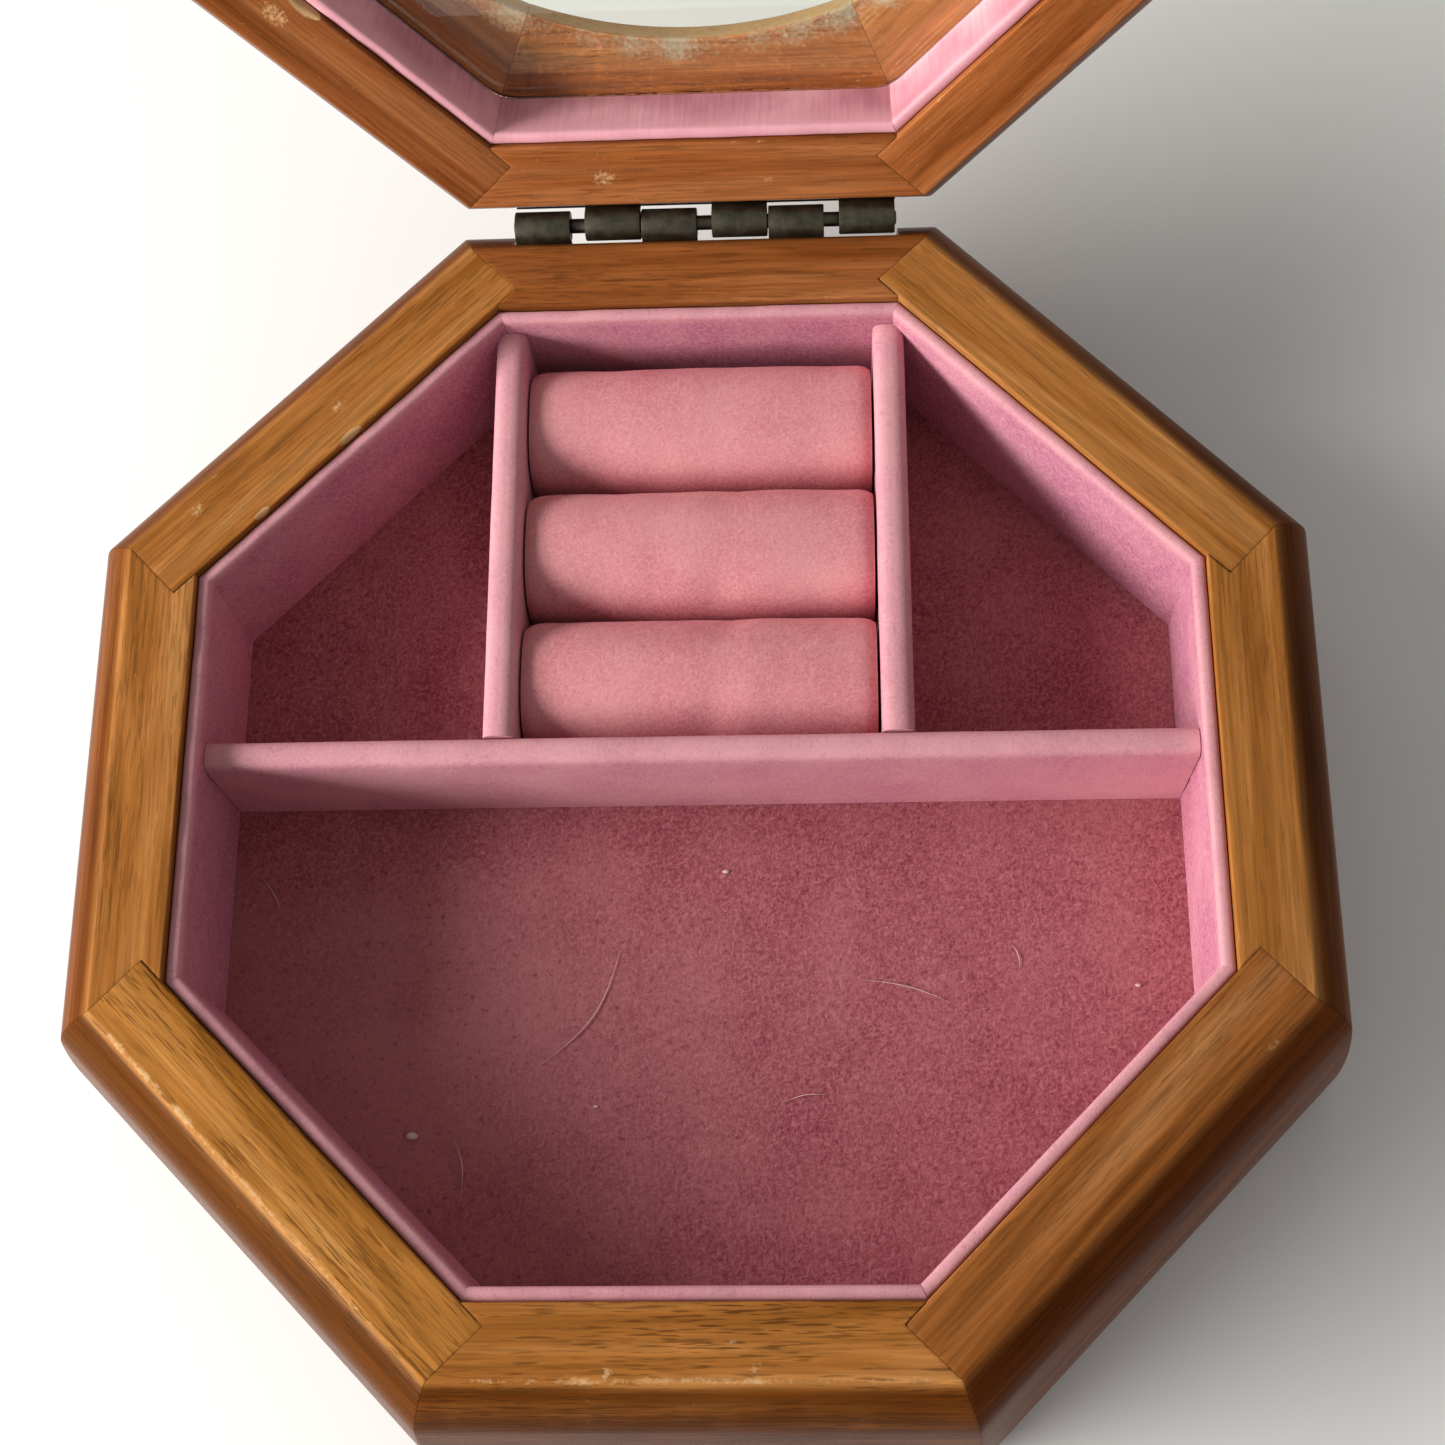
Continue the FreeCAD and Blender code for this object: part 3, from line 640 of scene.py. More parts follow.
@dataclass(frozen=True)
class RibbedSatin:
    """Satin cloth with fine woven ribs, glued over a card strip.

    The eye gets a smoother, brighter pink than the felt, with fine upright ribs and a soft gloss
    between them. The ribs are finer than the render can show, so they are drawn 0.65 mm apart.
    """

    name: str = "ribbed_satin"
    dark: str = "#a9636f"
    mid: str = "#cb8390"
    light: str = "#e6a5ac"
    rib: float = 0.65
    rib_run: float = 13.0
    rib_share: float = 0.25
    relief: float = 0.08
    blotch: float = 18.0

    def material(self) -> bpy.types.Material:
        """Build the material.

        Returns:
            Material that reads the marks seed and fade.
        """
        made, tree, place_mm = begin(self.name, seeded=True)
        fade = add(tree, "Attribute", attribute_name="fade").outputs["Fac"]
        scaled = add(tree, "Mapping", {
            "Vector": place_mm, "Scale": (1 / self.rib, 1 / self.rib_run, 1 / self.rib_run),
        })
        rib = add(tree, "TexNoise", {"Vector": scaled, "Scale": 1.0, "Detail": 1.0, "Distortion": 0.1})
        blotch = add(tree, "TexNoise", {"Vector": place_mm, "Scale": 1 / self.blotch, "Detail": 3.0})
        tone = add(tree, "Math", {0: rib, 1: self.rib_share, 2: blotch}, operation="MULTIPLY_ADD")
        tone = add(tree, "Math", {0: tone, 1: 0.8}, operation="MULTIPLY")
        shade = add(tree, "ValToRGB", {"Fac": tone}, stops=(
            (0.34, self.dark), (0.48, self.mid), (0.64, self.light),
        ))
        # Paler by the fade mark: fading, and painted light where the mark holds it
        shade = add(tree, "Mix", {SHARE: fade, UNDER: shade, OVER: self.light}, data_type="RGBA")
        relief = add(tree, "Bump", {"Height": rib, "Strength": 0.5, "Distance": self.relief * MM})
        shader = add(tree, "BsdfPrincipled", {
            "Base Color": shade, "Roughness": 0.62, "Normal": relief, "IOR": 1.5,
            "Sheen Weight": 0.3, "Sheen Roughness": 0.35, "Sheen Tint": self.light,
        })
        add(tree, "OutputMaterial", {"Surface": shader})
        return made


@dataclass(frozen=True)
class BronzedSteel:
    """Rolled steel strip with an antique bronze wash, rubbed thin in fine lines.

    The eye gets a dark olive brown metal with a dull satin glint, a cloudy wash and fine scratches.
    """

    name: str = "bronzed_steel"
    dark: str = "#302d24"
    mid: str = "#413d31"
    rubbed: str = "#6d6651"
    cloud: float = 2.2
    scratch: tuple[float, float] = (0.4, 5.0)
    relief: float = 0.02

    def material(self) -> bpy.types.Material:
        """Build the material.

        Returns:
            Material with clouded wash and fine scratches.
        """
        made, tree, place_mm = begin(self.name)
        cloud = add(tree, "TexNoise", {
            "Vector": place_mm, "Scale": 1 / self.cloud, "Detail": 5.0, "Roughness": 0.6,
        })
        wide, long = self.scratch
        scaled = add(tree, "Mapping", {"Vector": place_mm, "Scale": (1 / wide, 1 / long, 1 / long)})
        scratch = add(tree, "TexNoise", {"Vector": scaled, "Scale": 1.0, "Detail": 2.0})
        shade = add(tree, "ValToRGB", {"Fac": cloud}, stops=((0.36, self.dark), (0.62, self.mid)))
        rub = add(tree, "MapRange", {
            "Value": scratch, "From Min": 0.55, "From Max": 0.8, "To Max": 0.12,
        })
        shade = add(tree, "Mix", {SHARE: rub, UNDER: shade, OVER: self.rubbed}, data_type="RGBA")
        rough = add(tree, "MapRange", {
            "Value": cloud, "From Min": 0.3, "From Max": 0.7, "To Min": 0.32, "To Max": 0.55,
        })
        relief = add(tree, "Bump", {"Height": scratch, "Strength": 0.05, "Distance": self.relief * MM})
        shader = add(tree, "BsdfPrincipled", {
            "Base Color": shade, "Metallic": 0.8, "Roughness": rough, "Normal": relief,
        })
        add(tree, "OutputMaterial", {"Surface": shader})
        return made


@dataclass(frozen=True)
class FloatGlass:
    """Float glass, cut to an octagon with its arrises ground off.

    The eye gets a clear pane with a faint green grey tint, a bright ground edge and slight smears.
    Lamps shine through it, so that the wood behind it is lit.
    """

    name: str = "float_glass"
    tint: str = "#e8ebe5"
    smear: float = 9.0

    def material(self) -> bpy.types.Material:
        """Build the material.

        Returns:
            Clear glass with slight smears.
        """
        made, tree, place_mm = begin(self.name)
        smear = add(tree, "TexNoise", {
            "Vector": place_mm, "Scale": 1 / self.smear, "Detail": 6.0, "Roughness": 0.7,
        })
        rough = add(tree, "MapRange", {
            "Value": smear, "From Min": 0.55, "From Max": 0.8, "To Min": 0.0, "To Max": 0.06,
        })
        shader = add(tree, "BsdfPrincipled", {
            "Base Color": self.tint, "Roughness": rough, "IOR": 1.5, "Transmission Weight": 1.0,
        })
        clear = add(tree, "BsdfTransparent", {"Color": self.tint})
        shaded = add(tree, "LightPath").outputs["Is Shadow Ray"]
        both = add(tree, "MixShader", {0: shaded, 1: shader, 2: clear})
        add(tree, "OutputMaterial", {"Surface": both})
        return made


@dataclass(frozen=True)
class Hardboard:
    """Pressed hardboard of brown wood fibre, smooth on its outer side.

    The eye gets a dull even brown with dark and pale fibre flecks.
    """

    name: str = "hardboard"
    dark: str = "#6b4d33"
    light: str = "#93704e"
    fibre: float = 1.4
    cloud: float = 25.0
    relief: float = 0.1

    def material(self) -> bpy.types.Material:
        """Build the material.

        Returns:
            Dull brown board with fibre flecks.
        """
        made, tree, place_mm = begin(self.name)
        fleck = add(tree, "TexNoise", {
            "Vector": place_mm, "Scale": 1 / self.fibre, "Detail": 4.0, "Roughness": 0.7,
        })
        cloud = add(tree, "TexNoise", {"Vector": place_mm, "Scale": 1 / self.cloud, "Detail": 2.0})
        tone = add(tree, "Math", {0: fleck, 1: cloud}, operation="ADD")
        tone = add(tree, "MapRange", {"Value": tone, "From Min": 0.75, "From Max": 1.25})
        shade = add(tree, "Mix", {SHARE: tone, UNDER: self.dark, OVER: self.light}, data_type="RGBA")
        rough = add(tree, "MapRange", {
            "Value": fleck, "From Min": 0.3, "From Max": 0.7, "To Min": 0.6, "To Max": 0.85,
        })
        relief = add(tree, "Bump", {"Height": fleck, "Strength": 0.3, "Distance": self.relief * MM})
        shader = add(tree, "BsdfPrincipled", {
            "Base Color": shade, "Roughness": rough, "Normal": relief, "IOR": 1.5,
        })
        add(tree, "OutputMaterial", {"Surface": shader})
        return made


@dataclass(frozen=True)
class LintFibre:
    """Loose pale cotton hairs and crumbs that have settled on the felt.

    The eye gets a dull pale pink that changes slowly along each hair.
    """

    name: str = "lint_fibre"
    dark: str = "#b78a80"
    light: str = "#e8cfc2"
    blotch: float = 2.5

    def material(self) -> bpy.types.Material:
        """Build the material.

        Returns:
            Pale dull fibre.
        """
        made, tree, place_mm = begin(self.name)
        tone = add(tree, "TexNoise", {"Vector": place_mm, "Scale": 1 / self.blotch, "Detail": 2.0})
        shade = add(tree, "Mix", {SHARE: tone, UNDER: self.dark, OVER: self.light}, data_type="RGBA")
        shader = add(tree, "BsdfPrincipled", {"Base Color": shade, "Roughness": 0.7, "IOR": 1.5})
        add(tree, "OutputMaterial", {"Surface": shader})
        return made


LINING = PressedFelt(
    "mauve_lining_felt", dark="#a25e74", mid="#bb758a", light="#cb8c9c", faded_and_lit="#dca1a1", fleck="#935066",
)
ROLL = PressedFelt(
    "rose_roll_felt", dark="#bb6c73", mid="#cd7d83", light="#da9297", faded_and_lit="#dc9d9a", fleck="#ab5f67",
)
FLOOR = PressedFelt(
    "wine_floor_felt", dark="#7f3a42", mid="#9d545b", light="#b56f74", faded_and_lit="#b27070", fleck="#6b2b34",
    fibre=(2.2, 0.5), nap=0.2, fleck_share=0.5, sheen=0.25,
)


# Wooden rails


@dataclass(frozen=True)
class Corner:
    """A corner of a section, and the edge from there to the next one."""

    r: float
    z: float
    rows: int
    bulge: float = 0.0
    ease: float = 0.0


@dataclass(frozen=True)
class Knock:
    """A chip or rubbed place: where along the rail, how long and how deep, in millimetres."""

    at: float
    span: float
    depth: float


@dataclass(frozen=True)
class Scuff:
    """A rubbed spot: where along the rail, how far from the middle of the box and how wide."""

    at: float
    out: float
    radius: float


def level(corners: Sequence[Corner], count: int) -> np.ndarray:
    """Places of a section's corners, the same at each station, as (corners, stations, 2)."""
    return np.array([[(corner.r, corner.z)] * count for corner in corners])


def trace(corners: Sequence[Corner], places: np.ndarray, eases: np.ndarray) -> tuple[np.ndarray, np.ndarray]:
    """Lay rows round a closed section, with its corners eased.

    Args:
        corners: Corners in order, clockwise with r to the right and z up.
        places: Where the corners lie at each station, as (corners, stations, 2).
        eases: How far each corner is eased at each station, as (corners, stations).

    Returns:
        Points as (stations, rows, 2), and the corner that each row belongs to or -1.
    """
    count = len(corners)

    def along(edge: int, share: np.ndarray) -> np.ndarray:
        """Find points on one edge.

        Args:
            edge: Corner that the edge starts from.
            share: How far along the edge at each station, from 0 to 1.

        Returns:
            Points as (stations, 2).
        """
        first, last = places[edge], places[(edge + 1) % count]
        chord = last - first
        length = np.linalg.norm(chord, axis=1)[:, None]
        ahead = chord / length
        outward = np.stack([-ahead[:, 1], ahead[:, 0]], -1)
        rise = corners[edge].bulge
        if not rise:
            return first + chord * share[:, None]
        radius = (length ** 2 / 4 + rise ** 2) / (2 * rise)
        half = 2 * np.arctan(2 * rise / length)
        angle = (2 * share[:, None] - 1) * half
        bow = radius * (np.cos(angle) - np.cos(half))
        return (first + last) / 2 + ahead * radius * np.sin(angle) + outward * bow

    lengths = np.stack([np.linalg.norm(places[(k + 1) % count] - places[k], axis=1) for k in range(count)])
    rows, owners = [], []
    for k, corner in enumerate(corners):
        before = (k - 1) % count
        if corner.ease:
            start = along(before, 1 - eases[k] / lengths[before])
            end = along(k, eases[k] / lengths[k])
            for step in CORNER_STEPS:
                rows.append((1 - step) ** 2 * start + 2 * step * (1 - step) * places[k] + step ** 2 * end)
                owners.append(k)
        else:
            rows.append(places[k])
            owners.append(-1)
        low = eases[k] / lengths[k]
        high = 1 - eases[(k + 1) % count] / lengths[k]
        for row in range(1, corner.rows):
            rows.append(along(k, low + (high - low) * row / corner.rows))
            owners.append(-1)
    return np.stack(rows, 1), np.array(owners)


@dataclass
class RailSet:
    """What the rails of body and lid share: their joints, worn edges and marks.

    Sizes are in millimetres. A joint is tight, or cracked at the ends that are named, and above
    plain_above it is a plain mitre. Edges are rubbed in stretches and knocked at the corners of the
    section that are named. The rest are strengths of the marks that the finish reads.
    """

    inner: float
    rim: float
    kink: float = 4.7
    joint_gap: float = 0.03
    joint_step: float = 0.02
    plain_above: float = math.inf
    steps: int = 92
    rub: float = 0.22
    rub_period: float = 9.0
    rub_stretch: float = 60.0
    bare_depth: float = 0.55
    groove: float = 0.05
    groove_width: float = 0.25
    joint_line: tuple[float, float] = (0.02, 0.22)
    tight: float = 0.14
    cracks: dict[tuple[Side, End], float] = field(default_factory=dict)
    knocks: dict[tuple[Side, int], list[Knock]] = field(default_factory=dict)
    scuffs: dict[Side, list[Scuff]] = field(default_factory=dict)
    scuff_level: float = 0.62
    scuff_stretch: float = 1.6
    specks: float = 0.3
    mould: float = 0.95
    mould_edge: tuple[float, float] = (0.2, 1.6)
    tones: dict[Side, float] = field(default_factory=dict)
    hue: float = 0.5
    hues: dict[Side, float] = field(default_factory=dict)
    pores: float = 0.35
    porous: dict[Side, float] = field(default_factory=dict)
    grain_start: float = 11.0
    grain_jump: float = 37.0

    @property
    def notch(self) -> float:
        """How far the kinked joint runs out from the inner edge."""
        return self.kink / math.sqrt(2)

    def half_length(self, r: np.ndarray, side: Side) -> np.ndarray:
        """Half the length of a rail at a distance from the middle of the box.

        Args:
            r: Distances from the middle in millimetres.
            side: Side that the rail is on.

        Returns:
            Half lengths, following the kinked joint over the rim and the plain mitre elsewhere.
        """
        if side.diagonal:
            knots = [self.inner, self.rim]
            ends = [self.inner * MITRE + self.kink, self.rim * MITRE]
        else:
            knots = [self.inner, self.inner + self.notch, self.rim]
            ends = [self.inner * MITRE, self.inner * MITRE - self.notch, self.rim * MITRE]
        kinked = np.interp(r, knots, ends)
        plain = (r < self.inner - self.joint_step / 2) | (r > self.rim)
        return np.where(plain, r * MITRE, kinked) - self.joint_gap

    def wear(self, corner: int, side: Side, x: np.ndarray) -> np.ndarray:
        """How far rubbing and knocks have taken off an edge.

        Args:
            corner: Corner of the section.
            side: Side that the rail is on.
            x: Places along the rail in millimetres.

        Returns:
            Depth at each place.
        """
        seed = 7 * side.value + corner
        stretch = np.clip(0.4 + drift(x, Seed.RUB + seed, self.rub_stretch, 3), 0, 1)
        worn = self.rub * stretch * np.clip(drift(x, seed, self.rub_period, 6), 0, None)
        for knock in self.knocks.get((side, corner), []):
            share = np.clip(1 - np.abs(x - knock.at) / (knock.span / 2), 0, 1)
            worn = worn + knock.depth * share ** 0.7
        return worn

    def loft(self, name: str, side: Side, corners: Sequence[Corner], places: np.ndarray,
             worn_corners: Sequence[int]) -> tuple[bpy.types.Object, np.ndarray]:
        """Loft one rail along its grain.

        Args:
            name: Name of the piece.
            side: Side that the rail is on.
            corners: Corners of its section.
            places: Where they lie at each station, as (corners, stations, 2).
            worn_corners: Corners that hands and knocks reach.

        Returns:
            The rail, with its marks, and its points as (stations, rows, 3).
        """
        share = stations(self.steps)
        eases = np.array([[corner.ease] * len(share) for corner in corners])
        worn = np.zeros_like(eases)
        for corner in worn_corners:
            x = share * self.half_length(places[corner, :, 0], side)
            worn[corner] = self.wear(corner, side, x)
        flat, owners = trace(corners, places, eases + worn)
        r, z = flat[..., 0], flat[..., 1]
        half = np.where(z > self.plain_above, r * MITRE - self.joint_gap, self.half_length(r, side))
        ahead = np.roll(flat, -1, 1) - np.roll(flat, 1, 1)
        size = np.maximum(np.linalg.norm(ahead, axis=2), 1e-6)
        reach = (1 - np.abs(share))[:, None] * half
        sink = self.groove * np.clip(1 - reach / self.groove_width, 0, 1)
        r = r + sink * ahead[..., 1] / size
        z = z - sink * ahead[..., 0] / size
        points = np.stack([share[:, None] * half, -r, z], -1)
        piece = skin(name, points)
        rubbed = np.zeros_like(r)
        for corner in worn_corners:
            bared = np.clip(worn[corner] / self.bare_depth, 0, 1)
            rubbed[:, owners == corner] = np.array(CORNER_WEAR) * bared[:, None]
        scuffed = np.full_like(r, self.specks)
        for scuff in self.scuffs.get(side, []):
            away = np.hypot((points[..., 0] - scuff.at) / self.scuff_stretch, r - scuff.out)
            spot = 1 - ramp(away, 0.3 * scuff.radius, scuff.radius)
            scuffed = np.maximum(scuffed, self.scuff_level * spot)
        ends = [self.cracks.get((side, end), self.tight) for end in End]
        joint = np.where(share < 0, *ends)[:, None] * (1 - ramp(reach, *self.joint_line))
        mark(piece, wear=rubbed, scuff=scuffed, joint=joint, **self.board_marks(side))
        return piece, points

    def moulded(self, out: np.ndarray) -> np.ndarray:
        """How far a place lies on the moulded outside, from 0 at the rim to 1."""
        return ramp(out - self.rim, *self.mould_edge)

    def board_marks(self, side: Side) -> dict[str, float]:
        """Marks that are the same all over one board.

        Args:
            side: Side that the rail is on.

        Returns:
            Its part of the grain, its tone and hue, and how open its pores are.
        """
        return {
            "seed": self.grain_jump * side.value + self.grain_start,
            "tone": self.tones.get(side, 1.0),
            "hue": self.hues.get(side, self.hue),
            "porous": self.porous.get(side, self.pores),
        }

    def seat(self, rail: bpy.types.Object, hinge: Hinge, top: float) -> None:
        """Cut the flat recess for a hinge leaf into a rear rail.

        Args:
            rail: Rear rail in the front's place.
            hinge: Hinge that the recess is for.
            top: Upper end of the recess, in the rail's own heights.
        """
        low = top - hinge.leaf_height - hinge.recess_gap
        reach = hinge.length / 2 + hinge.recess_gap
        clear = 30.0
        outer = self.rim + clear
        block = np.array([
            [(x, -hinge.face, low), (x, -hinge.face, top), (x, -outer, top), (x, -outer, low)]
            for x in (-hinge.middle - reach, -hinge.middle + reach)
        ])
        carve(rail, skin("hinge_recess", block))
        for name, value in self.board_marks(Side.REAR).items():
            lift_mark(rail, name, value)


@dataclass
class BodyRails(RailSet):
    """Eight moulded rails of the body, rebated below for the bottom panel.

    Some outsides have another tone than the rim, and a paler streak below it
    that is partly dust and partly a painted sheen.
    """

    height: float = 44.0
    shoulder: float = 97.7
    shoulder_z: float = 34.5
    belly: float = 101.4
    belly_z: float = 4.0
    foot: float = 98.4
    rebate: float = 84.0
    rebate_z: float = 14.0
    rim_bulge: float = 1.27
    flank_bulge: float = 0.56
    foot_bulge: float = 0.82
    outer_tones: dict[Side, float] = field(default_factory=dict)
    # Paler streak below the rim: partly dust, partly a painted sheen on the shoulder
    dust_and_sheen: dict[Side, float] = field(default_factory=dict)
    dust_and_sheen_z: float = 39.0
    dust_and_sheen_height: float = 2.4
    cut_over: float = 0.01

    def build(self, finish: bpy.types.Material, hinge: Hinge) -> None:
        """Model and place the rails.

        Args:
            finish: Material of the wood.
            hinge: Hinge whose leaf is let into the rear rail.
        """
        corners = [
            Corner(self.inner, self.height, 4, ease=0.4),
            Corner(self.inner + self.notch, self.height, 9),
            Corner(self.rim, self.height, 13, bulge=self.rim_bulge, ease=0.45),
            Corner(self.shoulder, self.shoulder_z, 20, bulge=self.flank_bulge, ease=1.0),
            Corner(self.belly, self.belly_z, 5, bulge=self.foot_bulge, ease=0.7),
            Corner(self.foot, 0.0, 4, ease=0.4),
            Corner(self.rebate, 0.0, 4, ease=0.2),
            Corner(self.rebate, self.rebate_z, 2, ease=0.1),
            Corner(self.inner, self.rebate_z, 8, ease=0.2),
        ]
        places = level(corners, len(stations(self.steps)))
        for side in Side:
            name = f"{side.label}_rail"
            rail, points = self.loft(f"{name}_wood", side, corners, places, tuple(BodyEdge))
            moulded = self.moulded(-points[..., 1])
            # Ease the moulding's darker tint in a band below the rim: dust, and a painted sheen
            band = np.exp(-((points[..., 2] - self.dust_and_sheen_z) / self.dust_and_sheen_height) ** 2)
            streaky = 0.7 + 0.3 * drift(points[..., 0], Seed.DUST_AND_SHEEN + side.value, 11.0)
            dust_and_sheen_share = self.dust_and_sheen.get(side, 0.0) * band * np.clip(streaky, 0, 1)
            tone = self.tones.get(side, 1.0)
            outer = self.outer_tones.get(side, tone)
            mark(rail, mould=self.mould * moulded * (1 - dust_and_sheen_share), glue=0.0)
            set_mark(rail, "tone", tone + (outer - tone) * moulded)
            if side is Side.REAR:
                self.seat(rail, hinge, self.height + self.cut_over)
            place(rail, Body.BASE, name, finish, side.turn)


@dataclass
class LidRails(RailSet):
    """Eight boards of the lid, moulded outside, recessed for the pane and cut by the round window.

    Inside, they are paler than the rim and smeared with glue round the window, whose edge is bare.
    """

    plain_above: float = 15.0
    mould: float = 0.9
    mould_edge: tuple[float, float] = (0.1, 1.5)
    floor: float = 44.4
    recess: float = 14.0
    window: float = 68.5
    window_cut: float = 4.0
    edge: float = 3.6
    top: float = 20.0
    round_end: float = 88.0
    flare: float = 96.6
    flare_z: float = 10.5
    top_bulge: float = 3.7
    flare_bulge: float = 0.45
    glue_ring: tuple[float, float] = (1.0, 8.0)
    window_wear: float = 0.62
    inside_scuff: float = 0.4
    inside_tone: float = 1.2

    def build(self, finish: bpy.types.Material, hinge: Hinge, opened: Matrix) -> None:
        """Model and place the rails.

        Args:
            finish: Material of the wood.
            hinge: Hinge whose leaf is let into the rear rail.
            opened: Swing of the closed lid to where it stands.
        """
        share = stations(self.steps)
        hole = self.window / np.sqrt(1 + (share * MITRE) ** 2)
        board_end = self.window * math.cos(TURN / 2) - self.window_cut
        slope = (self.top - self.recess - self.edge) / (self.round_end - board_end)
        step = self.inner - self.joint_step

        def outside(r: np.ndarray | float) -> np.ndarray | float:
            """Height of the sloping top."""
            return self.recess + self.edge + slope * (r - board_end)

        corners = [
            Corner(self.inner, 0.0, 6, ease=0.4),
            Corner(self.inner, self.recess, 1),
            Corner(step, self.recess, 10),
            Corner(board_end, self.recess, 3, ease=0.35),
            Corner(board_end, self.recess + self.edge, 10, ease=0.5),
            Corner(step, outside(step), 1),
            Corner(self.inner, outside(self.inner), 4),
            Corner(self.round_end, self.top, 14, bulge=self.top_bulge),
            Corner(self.flare, self.flare_z, 10, bulge=self.flare_bulge, ease=0.6),
            Corner(self.rim, 0.0, 8, ease=0.45),
            Corner(self.inner + self.notch, 0.0, 4),
        ]
        hole_under, hole_over = 3, 4
        places = level(corners, len(share))
        places[hole_under, :, 0] = hole
        places[hole_over, :, 0] = hole
        places[hole_over, :, 1] = outside(hole)
        for side in Side:
            name = f"lid_{side.label}_rail"
            rail, points = self.loft(f"{name}_wood", side, corners, places, tuple(LidEdge))
            out, z = -points[..., 1], points[..., 2]
            away = np.hypot(points[..., 0], out) - self.window
            inside = (z < self.recess + 0.4) & (out < self.inner)
            patchy = 0.5 + 0.2 * drift(points[..., 0], Seed.GLUE + side.value, 16.0)
            glue = np.where(inside, patchy * (1 - ramp(away, *self.glue_ring)), 0.0)
            bare = (away < 0.3) & (z > self.recess + 0.2)
            mark(rail, mould=self.mould * self.moulded(out), glue=glue)
            lift_mark(rail, "wear", self.window_wear * bare)
            lift_mark(rail, "scuff", self.inside_scuff * inside)
            lift_mark(rail, "tone", self.inside_tone * inside)
            if side is Side.REAR:
                self.seat(rail, hinge, hinge.axis_z - self.floor + hinge.leaf_height + hinge.recess_gap)
            place(rail, Body.LID, name, finish, opened @ lift(z=self.floor) @ side.turn)


# Felt-covered pieces


